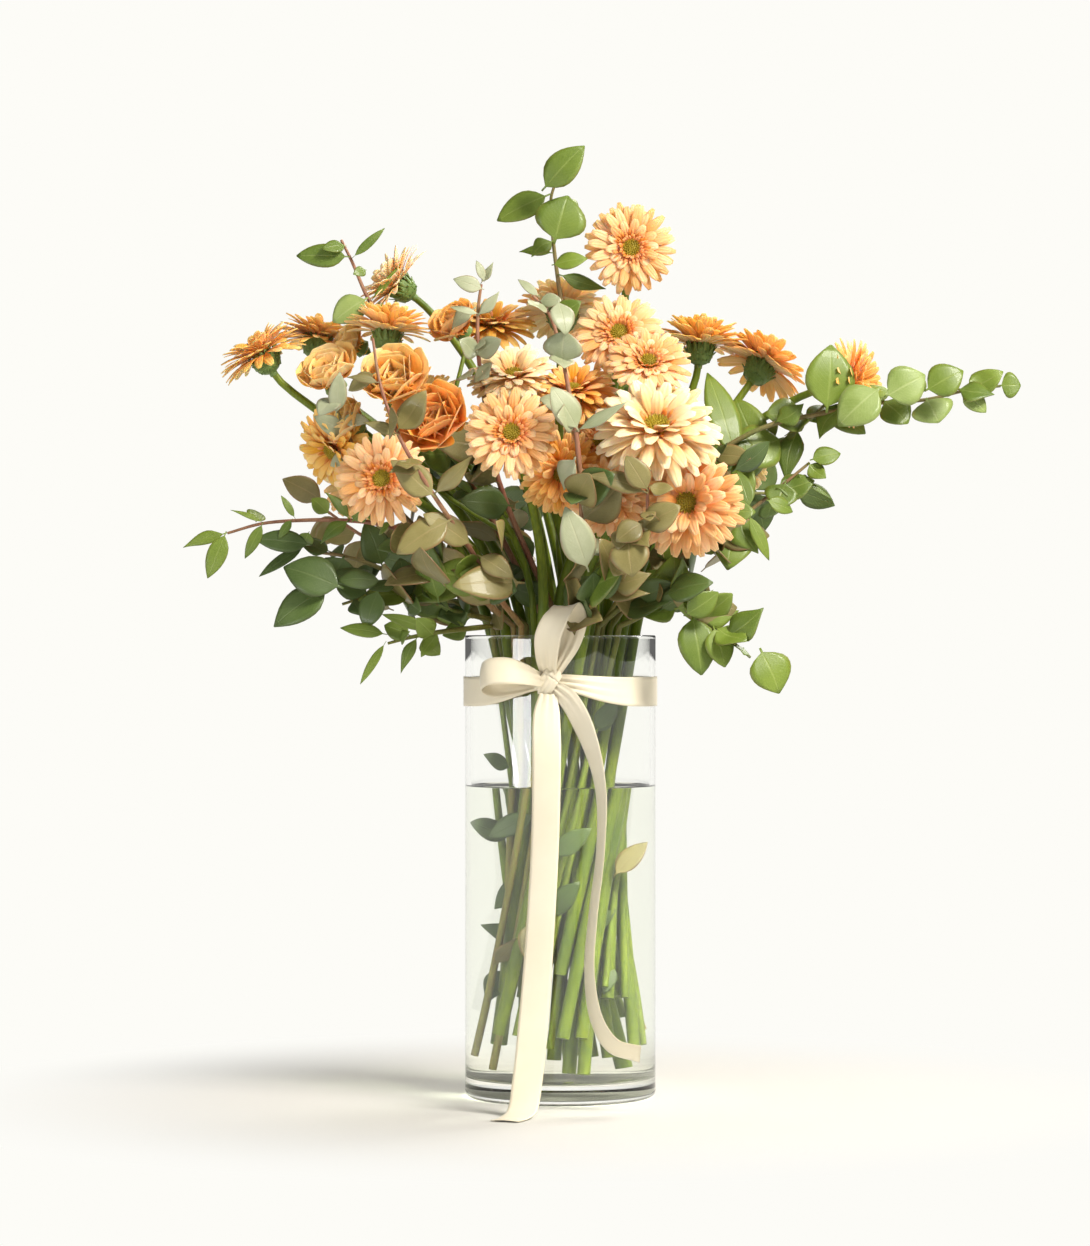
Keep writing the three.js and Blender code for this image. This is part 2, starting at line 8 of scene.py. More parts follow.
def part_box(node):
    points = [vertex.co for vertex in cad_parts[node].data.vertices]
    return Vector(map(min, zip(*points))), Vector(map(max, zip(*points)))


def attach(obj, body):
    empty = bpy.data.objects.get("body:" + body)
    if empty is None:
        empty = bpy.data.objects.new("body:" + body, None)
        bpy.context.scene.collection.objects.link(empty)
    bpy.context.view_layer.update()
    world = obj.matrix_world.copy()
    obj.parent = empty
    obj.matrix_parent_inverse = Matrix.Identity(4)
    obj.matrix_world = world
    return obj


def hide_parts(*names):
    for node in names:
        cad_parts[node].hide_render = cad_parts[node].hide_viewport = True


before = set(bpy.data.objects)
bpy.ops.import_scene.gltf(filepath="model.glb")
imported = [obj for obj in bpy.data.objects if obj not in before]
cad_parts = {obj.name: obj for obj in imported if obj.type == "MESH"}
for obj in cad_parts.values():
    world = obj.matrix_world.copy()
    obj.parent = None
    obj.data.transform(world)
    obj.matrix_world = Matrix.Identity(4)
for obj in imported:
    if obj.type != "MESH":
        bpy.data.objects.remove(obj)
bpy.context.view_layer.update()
chance = random.Random(11)
print("frame loaded", len(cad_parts), "nodes")


# Small helpers that several pieces use

def clearSelection():
    if bpy.context.object and bpy.context.object.mode != "OBJECT":
        bpy.ops.object.mode_set(mode="OBJECT")
    bpy.ops.object.select_all(action="DESELECT")


def pick(*things):
    clearSelection()
    for thing in things:
        thing.select_set(True)
    bpy.context.view_layer.objects.active = things[0]


def chooseVertices(thing, test):
    bpy.ops.object.mode_set(mode="OBJECT")
    mesh = thing.data
    for polygon in mesh.polygons:
        polygon.select = False
    for edge in mesh.edges:
        edge.select = False
    for vertex in mesh.vertices:
        vertex.select = test(vertex.co)
    bpy.ops.object.mode_set(mode="EDIT")
    bpy.ops.mesh.select_mode(type="VERT")


def chooseEdges(thing, test):
    bpy.ops.object.mode_set(mode="EDIT")
    bpy.ops.mesh.select_mode(type="EDGE")
    bpy.ops.mesh.select_all(action="DESELECT")
    bpy.ops.object.mode_set(mode="OBJECT")
    mesh = thing.data
    for edge in mesh.edges:
        a = mesh.vertices[edge.vertices[0]].co
        b = mesh.vertices[edge.vertices[1]].co
        edge.select = test(a) and test(b)
    bpy.ops.object.mode_set(mode="EDIT")


def chooseFaces(thing, test):
    bpy.ops.object.mode_set(mode="EDIT")
    bpy.ops.mesh.select_mode(type="FACE")
    bpy.ops.mesh.select_all(action="DESELECT")
    bpy.ops.object.mode_set(mode="OBJECT")
    for polygon in thing.data.polygons:
        polygon.select = test(polygon.center, polygon.normal)
    bpy.ops.object.mode_set(mode="EDIT")


def applyModifier(thing, kind, **values):
    pick(thing)
    modifier = thing.modifiers.new(kind.lower(), kind)
    for key, value in values.items():
        setattr(modifier, key, value)
    bpy.ops.object.modifier_apply(modifier=modifier.name)


def settle(thing):
    pick(thing)
    bpy.ops.object.transform_apply(location=True, rotation=True, scale=True)


def copyOf(thing, matrix, tone=None):
    twin = thing.copy()
    twin.data = thing.data.copy()
    bpy.context.collection.objects.link(twin)
    twin.matrix_world = matrix
    if tone is not None:
        paintTone(twin, tone)
    return twin


def recolour(thing, colour):
    for index, material in enumerate(thing.data.materials):
        if material.name.startswith("petal"):
            thing.data.materials[index] = petalMaterials[colour]
        if material.name.startswith("under"):
            thing.data.materials[index] = paleBackAndGlowMaterials[colour]


def paintTone(thing, tone):
    layer = thing.data.attributes.get("tone")
    if layer is None:
        layer = thing.data.attributes.new("tone", "FLOAT", "POINT")
    layer.data.foreach_set("value", [tone] * len(thing.data.vertices))


def joinAll(things, name):
    pick(*things)
    if len(things) > 1:
        bpy.ops.object.join()
    joined = bpy.context.object
    joined.name = name
    joined.data.name = name
    settle(joined)
    return joined


def removeThing(thing):
    mesh = thing.data
    bpy.data.objects.remove(thing)
    bpy.data.meshes.remove(mesh)


def facing(place, direction, spin, size):
    turn = Vector((0, 0, 1)).rotation_difference(direction.normalized()).to_matrix().to_4x4()
    return Matrix.Translation(place) @ turn @ Matrix.Rotation(spin, 4, "Z") @ Matrix.Scale(size, 4)


def handOver(piece, nodes):
    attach(piece, "root")
    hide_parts(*nodes)


def vectorOf(values):
    return Vector((values[0] / 1000, values[1] / 1000, values[2] / 1000))


# Material groups

def newGroup(name, inputs, outputs):
    group = bpy.data.node_groups.new(name, "ShaderNodeTree")
    for label, kind, start in inputs:
        socket = group.interface.new_socket(name=label, in_out="INPUT", socket_type=kind)
        if start is not None:
            socket.default_value = start
    for label, kind in outputs:
        group.interface.new_socket(name=label, in_out="OUTPUT", socket_type=kind)
    return group, group.nodes.new("NodeGroupInput"), group.nodes.new("NodeGroupOutput")


def addNode(tree, kind, values=None, **properties):
    node = tree.nodes.new(kind)
    for key, value in properties.items():
        setattr(node, key, value)
    for key, value in (values or {}).items():
        node.inputs[key].default_value = value
    return node


def blendColours(tree, factor, first, second, mode="MIX"):
    node = addNode(tree, "ShaderNodeMix", data_type="RGBA", blend_type=mode)
    for index, source in ((0, factor), (6, first), (7, second)):
        if hasattr(source, "is_output"):
            tree.links.new(source, node.inputs[index])
        else:
            node.inputs[index].default_value = source
    return node.outputs[2]


def sumUp(tree, operation, first, second=0.5, third=0.5, clamp=False):
    node = addNode(tree, "ShaderNodeMath", operation=operation, use_clamp=clamp)
    for index, source in enumerate((first, second, third)):
        if hasattr(source, "is_output"):
            tree.links.new(source, node.inputs[index])
        else:
            node.inputs[index].default_value = source
    return node.outputs[0]


def petalGrain():
    # Long ribs and fine veins on a petal, read from its own length (V) and width (U)
    group, start, end = newGroup(
        "petalGrain",
        [("Base", "NodeSocketColor", (0.9, 0.35, 0.1, 1)), ("Middle", "NodeSocketColor", (1, 0.5, 0.2, 1)),
         ("Tip", "NodeSocketColor", (1, 0.7, 0.45, 1)), ("Vein", "NodeSocketFloat", 0.3)],
        [("Colour", "NodeSocketColor"), ("Height", "NodeSocketFloat"), ("Roughness", "NodeSocketFloat")])
    uv = addNode(group, "ShaderNodeUVMap", uv_map="UVMap")
    split = addNode(group, "ShaderNodeSeparateXYZ")
    group.links.new(uv.outputs[0], split.inputs[0])
    tone = addNode(group, "ShaderNodeAttribute", attribute_name="tone")
    scaled = addNode(group, "ShaderNodeMapping", {"Scale": (26, 1.6, 1)})
    group.links.new(uv.outputs[0], scaled.inputs[0])
    streak = addNode(group, "ShaderNodeTexNoise", {"Scale": 1.0, "Detail": 4.0, "Roughness": 0.6},
                     noise_dimensions="4D")
    group.links.new(scaled.outputs[0], streak.inputs["Vector"])
    group.links.new(sumUp(group, "MULTIPLY", tone.outputs["Fac"], 40), streak.inputs["W"])
    ribs = sumUp(group, "SINE", sumUp(group, "MULTIPLY", split.outputs[0], 6 * math.pi))
    low = blendColours(group, sumUp(group, "MULTIPLY", split.outputs[1], 2.2, clamp=True),
                       start.outputs["Base"], start.outputs["Middle"])
    high = sumUp(group, "MULTIPLY_ADD", split.outputs[1], 2.0, -1.0, clamp=True)
    shade = blendColours(group, high, low, start.outputs["Tip"])
    veins = sumUp(group, "MULTIPLY", start.outputs["Vein"],
                  sumUp(group, "MULTIPLY_ADD", streak.outputs[0], 1.9, -0.55, clamp=True))
    veined = blendColours(group, veins, shade, start.outputs["Base"])
    glow = addNode(group, "ShaderNodeHueSaturation")
    group.links.new(veined, glow.inputs["Color"])
    group.links.new(sumUp(group, "MULTIPLY_ADD", tone.outputs["Fac"], 0.3, 0.86), glow.inputs["Value"])
    calmer = sumUp(group, "MULTIPLY_ADD", tone.outputs["Fac"], -0.16, 1.08)
    group.links.new(calmer, glow.inputs["Saturation"])
    group.links.new(glow.outputs[0], end.inputs["Colour"])
    relief = sumUp(group, "ADD", sumUp(group, "MULTIPLY", ribs, 0.5), sumUp(group, "MULTIPLY",
                   streak.outputs[0], 0.9))
    group.links.new(relief, end.inputs["Height"])
    group.links.new(sumUp(group, "MULTIPLY_ADD", streak.outputs[0], 0.2, 0.46), end.inputs["Roughness"])
    return group


def leafGrain():
    # Midrib, side veins, waxy bloom and edge tint on a leaf, read from its own width (U) and length (V)
    group, start, end = newGroup(
        "leafGrain",
        [("Face", "NodeSocketColor", (0.1, 0.2, 0.05, 1)), ("Light", "NodeSocketColor", (0.2, 0.3, 0.1, 1)),
         ("Rib", "NodeSocketColor", (0.3, 0.35, 0.15, 1)), ("Rim", "NodeSocketColor", (0.2, 0.1, 0.05, 1)),
         ("Bloom", "NodeSocketColor", (0.4, 0.45, 0.38, 1)), ("Bloom Amount", "NodeSocketFloat", 0.3)],
        [("Colour", "NodeSocketColor"), ("Height", "NodeSocketFloat"), ("Roughness", "NodeSocketFloat")])
    uv = addNode(group, "ShaderNodeUVMap", uv_map="UVMap")
    split = addNode(group, "ShaderNodeSeparateXYZ")
    group.links.new(uv.outputs[0], split.inputs[0])
    tone = addNode(group, "ShaderNodeAttribute", attribute_name="tone")
    across = sumUp(group, "ABSOLUTE", sumUp(group, "SUBTRACT", split.outputs[0], 0.5))
    midrib = sumUp(group, "SUBTRACT", 1.0, sumUp(group, "MULTIPLY", across, 24), clamp=True)
    place = addNode(group, "ShaderNodeTexCoord")
    bend = addNode(group, "ShaderNodeTexNoise", {"Scale": 90.0, "Detail": 2.0})
    group.links.new(place.outputs["Object"], bend.inputs["Vector"])
    slant = sumUp(group, "ADD", sumUp(group, "MULTIPLY", split.outputs[1], 13),
                  sumUp(group, "MULTIPLY_ADD", across, -9.0, sumUp(group, "MULTIPLY", bend.outputs[0], 0.6)))
    wave = sumUp(group, "ABSOLUTE", sumUp(group, "SINE", sumUp(group, "MULTIPLY", slant, math.pi)))
    side = sumUp(group, "SUBTRACT", 1.0, sumUp(group, "MULTIPLY", wave, 5.5), clamp=True)
    net = addNode(group, "ShaderNodeTexVoronoi", {"Scale": 620.0}, feature="DISTANCE_TO_EDGE")
    group.links.new(place.outputs["Object"], net.inputs["Vector"])
    mesh = sumUp(group, "SUBTRACT", 1.0, sumUp(group, "MULTIPLY", net.outputs["Distance"], 9), clamp=True)
    patch = addNode(group, "ShaderNodeTexNoise", {"Scale": 42.0, "Detail": 5.0, "Roughness": 0.6})
    group.links.new(place.outputs["Object"], patch.inputs["Vector"])
    spots = sumUp(group, "MULTIPLY_ADD", patch.outputs[0], 2.4, -0.75, clamp=True)
    body = blendColours(group, sumUp(group, "MULTIPLY_ADD", spots, 0.5,
                        sumUp(group, "MULTIPLY", tone.outputs["Fac"], 0.55), clamp=True),
                        start.outputs["Face"], start.outputs["Light"])
    waxy = blendColours(group, sumUp(group, "MULTIPLY", start.outputs["Bloom Amount"],
                        sumUp(group, "MULTIPLY_ADD", patch.outputs[0], 1.5, -0.1, clamp=True)),
                        body, start.outputs["Bloom"])
    edge = sumUp(group, "MULTIPLY_ADD", across, 14.0, -6.0, clamp=True)
    rimmed = blendColours(group, sumUp(group, "MULTIPLY", edge, 0.6), waxy, start.outputs["Rim"])
    ribbed = blendColours(group, sumUp(group, "MULTIPLY", side, 0.13), rimmed, start.outputs["Rib"])
    netted = blendColours(group, sumUp(group, "MULTIPLY", mesh, 0.08), ribbed, start.outputs["Rib"])
    whole = blendColours(group, sumUp(group, "MULTIPLY", midrib, 0.32), netted, start.outputs["Rib"])
    group.links.new(whole, end.inputs["Colour"])
    relief = sumUp(group, "MULTIPLY_ADD", side, -0.35, sumUp(group, "MULTIPLY", midrib, -1.0))
    relief = sumUp(group, "MULTIPLY_ADD", mesh, -0.12, relief)
    group.links.new(relief, end.inputs["Height"])
    group.links.new(sumUp(group, "MULTIPLY_ADD", patch.outputs[0], 0.22, 0.34), end.inputs["Roughness"])
    return group


def stemGrain():
    # Fine long streaks up a stem, with two colours that drift into each other
    group, start, end = newGroup(
        "stemGrain",
        [("First", "NodeSocketColor", (0.2, 0.35, 0.05, 1)),
         ("Second", "NodeSocketColor", (0.3, 0.45, 0.1, 1)),
         ("Streak", "NodeSocketColor", (0.1, 0.2, 0.03, 1)),
         ("Foot", "NodeSocketColor", (0.17, 0.26, 0.012, 1)), ("Foot Amount", "NodeSocketFloat", 0.0)],
        [("Colour", "NodeSocketColor"), ("Height", "NodeSocketFloat"), ("Roughness", "NodeSocketFloat")])
    place = addNode(group, "ShaderNodeTexCoord")
    long = addNode(group, "ShaderNodeMapping", {"Scale": (900, 900, 22)})
    group.links.new(place.outputs["Object"], long.inputs[0])
    fine = addNode(group, "ShaderNodeTexNoise", {"Scale": 1.0, "Detail": 3.0})
    group.links.new(long.outputs[0], fine.inputs["Vector"])
    drift = addNode(group, "ShaderNodeTexNoise", {"Scale": 26.0, "Detail": 3.0})
    group.links.new(place.outputs["Object"], drift.inputs["Vector"])
    slow = sumUp(group, "MULTIPLY_ADD", drift.outputs[0], 2.6, -0.8, clamp=True)
    body = blendColours(group, slow, start.outputs["First"], start.outputs["Second"])
    split = addNode(group, "ShaderNodeSeparateXYZ")
    group.links.new(place.outputs["Object"], split.inputs[0])
    low = sumUp(group, "MULTIPLY_ADD", split.outputs[2], -11.0, 3.8, clamp=True)
    body = blendColours(group, sumUp(group, "MULTIPLY", low, start.outputs["Foot Amount"]), body,
                        start.outputs["Foot"])
    lined = blendColours(group, sumUp(group, "MULTIPLY_ADD", fine.outputs[0], 1.6, -0.6, clamp=True),
                         body, start.outputs["Streak"])
    group.links.new(lined, end.inputs["Colour"])
    group.links.new(fine.outputs[0], end.inputs["Height"])
    group.links.new(sumUp(group, "MULTIPLY_ADD", fine.outputs[0], 0.25, 0.38), end.inputs["Roughness"])
    return group


groups = {"petal": petalGrain(), "leaf": leafGrain(), "stem": stemGrain()}


def plantMaterial(name, group, inputs, bump, shader):
    material = bpy.data.materials.new(name)
    material.use_nodes = True
    tree = material.node_tree
    principled = tree.nodes["Principled BSDF"]
    for key, value in shader.items():
        principled.inputs[key].default_value = value
    grain = tree.nodes.new("ShaderNodeGroup")
    grain.node_tree = groups[group]
    for key, value in inputs.items():
        grain.inputs[key].default_value = value
    tree.links.new(grain.outputs["Colour"], principled.inputs["Base Color"])
    tree.links.new(grain.outputs["Roughness"], principled.inputs["Roughness"])
    raised = addNode(tree, "ShaderNodeBump", {"Strength": bump[0], "Distance": bump[1]})
    tree.links.new(grain.outputs["Height"], raised.inputs["Height"])
    tree.links.new(raised.outputs[0], principled.inputs["Normal"])
    return material


petalColours = {
    "peach": {"Base": (0.86, 0.26, 0.07, 1), "Middle": (0.97, 0.44, 0.17, 1), "Tip": (1.0, 0.59, 0.31, 1)},
    "amber": {"Base": (0.84, 0.3, 0.03, 1), "Middle": (0.97, 0.47, 0.1, 1), "Tip": (1.0, 0.61, 0.2, 1)},
    "pale": {"Base": (0.93, 0.42, 0.12, 1), "Middle": (1.0, 0.65, 0.33, 1), "Tip": (1.0, 0.79, 0.53, 1)},
    "deep": {"Base": (0.78, 0.21, 0.03, 1), "Middle": (0.94, 0.38, 0.08, 1), "Tip": (1.0, 0.52, 0.17, 1)},
    "ruffled": {"Base": (0.85, 0.32, 0.04, 1), "Middle": (0.97, 0.5, 0.14, 1), "Tip": (1.0, 0.66, 0.28, 1)},
}
petalShader = {"Specular IOR Level": 0.25, "Sheen Weight": 0.12, "Sheen Roughness": 0.4,
               "Subsurface Weight": 0.35, "Subsurface Radius": (1.0, 0.42, 0.16), "Subsurface Scale": 0.003}
petalMaterials = {
    colour: plantMaterial("petal" + colour.capitalize(), "petal", {**inputs, "Vein": 0.32}, (0.5, 0.0004),
                          petalShader)
    for colour, inputs in petalColours.items()
}
# Petal undersides mix each petal colour with a paler warm tint: partly the real paler back of a petal,
# partly painted glow that stands in for light shining through the thin petals from above
paleBackAndGlowTint = (1.0, 0.74, 0.4, 1)
paleBackAndGlowMaterials = {
    colour: plantMaterial("under" + colour.capitalize(), "petal", {
        **{part: tuple(0.55 * a + 0.45 * b for a, b in zip(value, paleBackAndGlowTint))
           for part, value in inputs.items()}, "Vein": 0.2}, (0.5, 0.0004), petalShader)
    for colour, inputs in petalColours.items()
}
innerMaterial = plantMaterial("innerFloret", "petal", {
    "Base": (0.62, 0.2, 0.04, 1), "Middle": (0.84, 0.25, 0.07, 1), "Tip": (0.95, 0.38, 0.13, 1), "Vein": 0.3,
}, (0.4, 0.0003), petalShader)
discMaterial = plantMaterial("discFloret", "stem", {
    "First": (0.33, 0.24, 0.02, 1), "Second": (0.52, 0.42, 0.05, 1), "Streak": (0.12, 0.08, 0.01, 1),
}, (0.4, 0.0003), {"Specular IOR Level": 0.2})
anthersMaterial = plantMaterial("anther", "stem", {
    "First": (0.86, 0.6, 0.06, 1), "Second": (0.75, 0.42, 0.04, 1), "Streak": (0.35, 0.16, 0.02, 1),
}, (0.4, 0.0003), {"Specular IOR Level": 0.2})
stemMaterial = plantMaterial("gerberaStem", "stem", {
    "First": (0.085, 0.14, 0.003, 1), "Second": (0.21, 0.27, 0.008, 1), "Streak": (0.05, 0.085, 0.003, 1),
}, (0.25, 0.0003), {"Specular IOR Level": 0.35, "Sheen Weight": 0.1})
bractMaterial = plantMaterial("bract", "stem", {
    "First": (0.13, 0.21, 0.05, 1), "Second": (0.2, 0.3, 0.08, 1), "Streak": (0.09, 0.14, 0.04, 1),
}, (0.3, 0.0003), {"Specular IOR Level": 0.3})
leafColours = {
    "green": {"Face": (0.06, 0.112, 0.007, 1), "Light": (0.19, 0.265, 0.022, 1),
              "Rib": (0.36, 0.43, 0.12, 1),
              "Rim": (0.17, 0.16, 0.03, 1), "Bloom": (0.26, 0.32, 0.13, 1), "Bloom Amount": 0.09},
    "dusky": {"Face": (0.04, 0.074, 0.008, 1), "Light": (0.09, 0.148, 0.018, 1),
              "Rib": (0.18, 0.23, 0.08, 1),
              "Rim": (0.06, 0.07, 0.02, 1), "Bloom": (0.16, 0.21, 0.12, 1), "Bloom Amount": 0.22},
    "sage": {"Face": (0.2, 0.24, 0.1, 1), "Light": (0.36, 0.39, 0.2, 1), "Rib": (0.48, 0.46, 0.28, 1),
             "Rim": (0.36, 0.2, 0.12, 1), "Bloom": (0.58, 0.59, 0.48, 1), "Bloom Amount": 0.4},
    "pale": {"Face": (0.13, 0.2, 0.022, 1), "Light": (0.3, 0.39, 0.085, 1), "Rib": (0.5, 0.56, 0.26, 1),
             "Rim": (0.24, 0.28, 0.09, 1), "Bloom": (0.45, 0.52, 0.28, 1), "Bloom Amount": 0.22},
    "brown": {"Face": (0.12, 0.1, 0.018, 1), "Light": (0.26, 0.22, 0.06, 1), "Rib": (0.38, 0.28, 0.12, 1),
              "Rim": (0.27, 0.1, 0.04, 1), "Bloom": (0.42, 0.39, 0.26, 1), "Bloom Amount": 0.16},
}
leafMaterials = {
    colour: plantMaterial("leaf" + colour.capitalize(), "leaf", inputs, (0.35, 0.0005),
                          {"Specular IOR Level": 0.45, "Coat Weight": 0.08})
    for colour, inputs in leafColours.items()
}
twigMaterials = {
    "green": plantMaterial("twigGreen", "stem", {
        "First": (0.17, 0.19, 0.05, 1), "Second": (0.26, 0.15, 0.07, 1), "Streak": (0.12, 0.09, 0.03, 1),
        "Foot Amount": 0.9,
    }, (0.4, 0.0004), {"Specular IOR Level": 0.4}),
    "red": plantMaterial("twigRed", "stem", {
        "First": (0.3, 0.1, 0.06, 1), "Second": (0.34, 0.2, 0.1, 1), "Streak": (0.16, 0.05, 0.03, 1),
        "Foot Amount": 0.65,
    }, (0.4, 0.0004), {"Specular IOR Level": 0.4}),
}
print("materials ready", len(bpy.data.materials))


# Blades: petals, florets, bracts and leaves all start as a grid that is shaped row by row

def blade(name, shape, materials):
    rows = len(shape["widths"]) - 1
    clearSelection()
    bpy.ops.mesh.primitive_grid_add(x_subdivisions=shape["across"], y_subdivisions=rows, size=1)
    piece = bpy.context.object
    piece.name = name
    columns = shape["across"]
    for row, width in enumerate(shape["widths"]):
        level = row / rows - 0.5
        chooseVertices(piece, lambda co, level=level: abs(co.y - level) < 0.001)
        bpy.ops.transform.resize(value=(width, 1, 1), center_override=(0, level, 0))
        bpy.ops.transform.translate(value=(shape.get("sway", [0] * 99)[row], 0, shape["lift"][row]))
    for column in range(columns + 1):
        rise = shape["section"][column]
        if rise:
            chooseVertices(piece, lambda co, row=column: True)
            bpy.ops.object.mode_set(mode="OBJECT")
            for index, vertex in enumerate(piece.data.vertices):
                vertex.select = index % (columns + 1) == column and 0 < index // (columns + 1) < rows
            bpy.ops.object.mode_set(mode="EDIT")
            bpy.ops.transform.translate(value=(0, 0, rise))
    bpy.ops.mesh.select_all(action="SELECT")
    bpy.ops.transform.translate(value=(0, 0.5, 0))
    bpy.ops.transform.resize(value=shape["size"], center_override=(0, 0, 0))
    bpy.ops.object.mode_set(mode="OBJECT")
    for material in materials:
        piece.data.materials.append(material)
    applyModifier(piece, "SOLIDIFY", thickness=shape["thick"], offset=0, material_offset=len(materials) - 1)
    pick(piece)
    bpy.ops.object.shade_smooth()
    settle(piece)
    return piece


def spread(part, count, distance, pitch, jitter, height, sizes=(0.92, 1.06), turn=0.0):
    # Copies of one blade round a centre, each pushed out, tipped and stretched a little differently
    things = []
    for index in range(count):
        angle = turn + (index + chance.uniform(-0.22, 0.22)) * 2 * math.pi / count
        tip = math.radians(pitch + chance.uniform(-jitter, jitter))
        roll = math.radians(chance.uniform(-11, 11))
        size = chance.uniform(*sizes)
        matrix = Matrix.Rotation(angle, 4, "Z") @ Matrix.Translation((0, distance, height))
        matrix = matrix @ Matrix.Rotation(tip, 4, "X") @ Matrix.Rotation(roll, 4, "Y")
        matrix = matrix @ Matrix.Diagonal((chance.uniform(0.9, 1.08), size, 1, 1))
        things.append(copyOf(part, matrix, chance.random()))
    return things


# Gerbera heads

gerberaPetal = {
    "across": 4, "size": (0.0064, 0.0238, 0.0238), "thick": 0.0003,
    "widths": [0.3, 0.55, 0.82, 0.97, 1.0, 0.96, 0.78, 0.38],
    "lift": [0, 0.012, 0.03, 0.045, 0.05, 0.042, 0.02, -0.012],
    "section": [0.016, -0.006, 0.012, -0.006, 0.016],
}
gerberaFloret = {
    "across": 2, "size": (0.0021, 0.0085, 0.0085), "thick": 0.00022,
    "widths": [0.5, 0.9, 1.0, 0.4], "lift": [0, 0.06, 0.1, 0.06], "section": [0.05, -0.03, 0.05],
}
gerberaBract = {
    "across": 2, "size": (0.0034, 0.0125, 0.0125), "thick": 0.0005,
    "widths": [0.9, 1.0, 0.75, 0.12], "lift": [0, 0.05, 0.08, 0.06], "section": [0.05, -0.05, 0.05],
}
gerberaDisc = {"radius": 0.0064, "seeds": 84, "seedRadius": 0.00066}
# layers: how many, how far out, tip angle, its spread, height, shortest and longest
headStyles = {
    "open": {"layers": [(24, 0.0062, 0, 7, -0.0006, 0.96, 1.05), (22, 0.0058, 8, 7, 0.0004, 0.84, 0.98),
                        (14, 0.0056, 18, 8, 0.0011, 0.42, 0.6)], "florets": [34, 28]},
    "flat": {"layers": [(25, 0.0062, -5, 8, -0.0006, 0.96, 1.06), (21, 0.0058, 4, 8, 0.0004, 0.84, 0.98),
                        (15, 0.0056, 16, 8, 0.0011, 0.42, 0.6)], "florets": [34, 28]},
    "domed": {"layers": [(21, 0.0058, -16, 8, -0.0008, 0.92, 1.04), (20, 0.0054, 2, 9, 0.0002, 0.9, 1.02),
                         (18, 0.0052, 22, 9, 0.0011, 0.76, 0.9), (15, 0.0048, 42, 9, 0.0018, 0.5, 0.7)],
              "florets": [26, 20]},
    "cupped": {"layers": [(21, 0.0058, 4, 9, -0.0008, 0.92, 1.06), (20, 0.0054, 20, 9, 0.0002, 0.9, 1.02),
                          (18, 0.0052, 36, 10, 0.0011, 0.8, 0.96), (15, 0.0048, 54, 10, 0.0018, 0.6, 0.8)],
               "florets": [26, 20]},
}


def gerberaSeed():
    clearSelection()
    bpy.ops.mesh.primitive_cone_add(vertices=5, radius1=gerberaDisc["seedRadius"], depth=0.0016,
                                    radius2=gerberaDisc["seedRadius"] * 0.45, location=(0, 0, 0.0006))
    seed = bpy.context.object
    settle(seed)
    return seed


def gerberaCentre(seed):
    # A domed cushion with small florets set out in a sunflower spiral
    clearSelection()
    radius = gerberaDisc["radius"]
    bpy.ops.mesh.primitive_uv_sphere_add(segments=20, ring_count=10, radius=radius)
    dome = bpy.context.object
    chooseVertices(dome, lambda co: True)
    bpy.ops.transform.resize(value=(1, 1, 0.5), center_override=(0, 0, 0))
    bpy.ops.transform.translate(value=(0, 0, 0.0008))
    bpy.ops.object.mode_set(mode="OBJECT")
    dome.data.materials.append(discMaterial)
    pick(dome)
    bpy.ops.object.shade_smooth()
    paintTone(dome, 0.3)
    things = [dome]
    for index in range(gerberaDisc["seeds"]):
        share = math.sqrt((index + 0.5) / gerberaDisc["seeds"])
        angle = index * 2.39996
        reach = share * radius * 1.02
        place = Vector((reach * math.cos(angle), reach * math.sin(angle),
                        0.0008 + radius * 0.5 * math.sqrt(max(0.02, 1 - min(share, 0.99) ** 2))))
        lean = Vector((math.cos(angle) * share * 0.9, math.sin(angle) * share * 0.9, 1))
        size = 0.7 + 0.7 * share + chance.uniform(-0.1, 0.1)
        twin = copyOf(seed, facing(place, lean, chance.uniform(0, 3), size), chance.random())
        twin.data.materials.append(anthersMaterial if share > 0.72 and chance.random() < 0.75
                                   else discMaterial)
        things.append(twin)
    return things


def gerberaCup(bract):
    # The green cup behind the petals, with two rows of pointed bracts
    clearSelection()
    bpy.ops.mesh.primitive_cylinder_add(vertices=16, radius=0.0026, depth=0.002, location=(0, 0, -0.0145))
    cup = bpy.context.object
    for drop, grow in ((0.0012, 2.0), (0.0022, 1.45), (0.0034, 1.16), (0.0034, 1.0), (0.0026, 0.86)):
        chooseFaces(cup, lambda centre, normal: normal.z > 0.9)
        bpy.ops.mesh.extrude_region_move(TRANSFORM_OT_translate={"value": (0, 0, drop)})
        bpy.ops.transform.resize(value=(grow, grow, 1))
    bpy.ops.object.mode_set(mode="OBJECT")
    settle(cup)
    cup.data.materials.append(bractMaterial)
    pick(cup)
    bpy.ops.object.shade_smooth_by_angle(angle=math.radians(50))
    paintTone(cup, 0.4)
    lowest = spread(bract, 12, 0.0046, 48, 6, -0.0128, (0.7, 0.85))
    middle = spread(bract, 15, 0.0072, 66, 6, -0.0116, (0.8, 1.0), 0.2)
    upper = spread(bract, 18, 0.0088, 76, 7, -0.0082, (0.75, 0.95), 0.4)
    return [cup, *lowest, *middle, *upper]


def gerberaHead(style, petal, floret, bract, seed, name):
    things = []
    for count, distance, pitch, jitter, height, shortest, longest in style["layers"]:
        things += spread(petal, count, distance, pitch, jitter, height, (shortest, longest),
                         chance.uniform(0, 0.2))
    things += spread(floret, style["florets"][0], 0.0060, 34, 9, 0.001, sizes=(0.8, 1.1))
    things += spread(floret, style["florets"][1], 0.0054, 52, 9, 0.0014, sizes=(0.6, 0.85))
    things += gerberaCentre(seed)
    things += gerberaCup(bract)
    return joinAll(things, name)


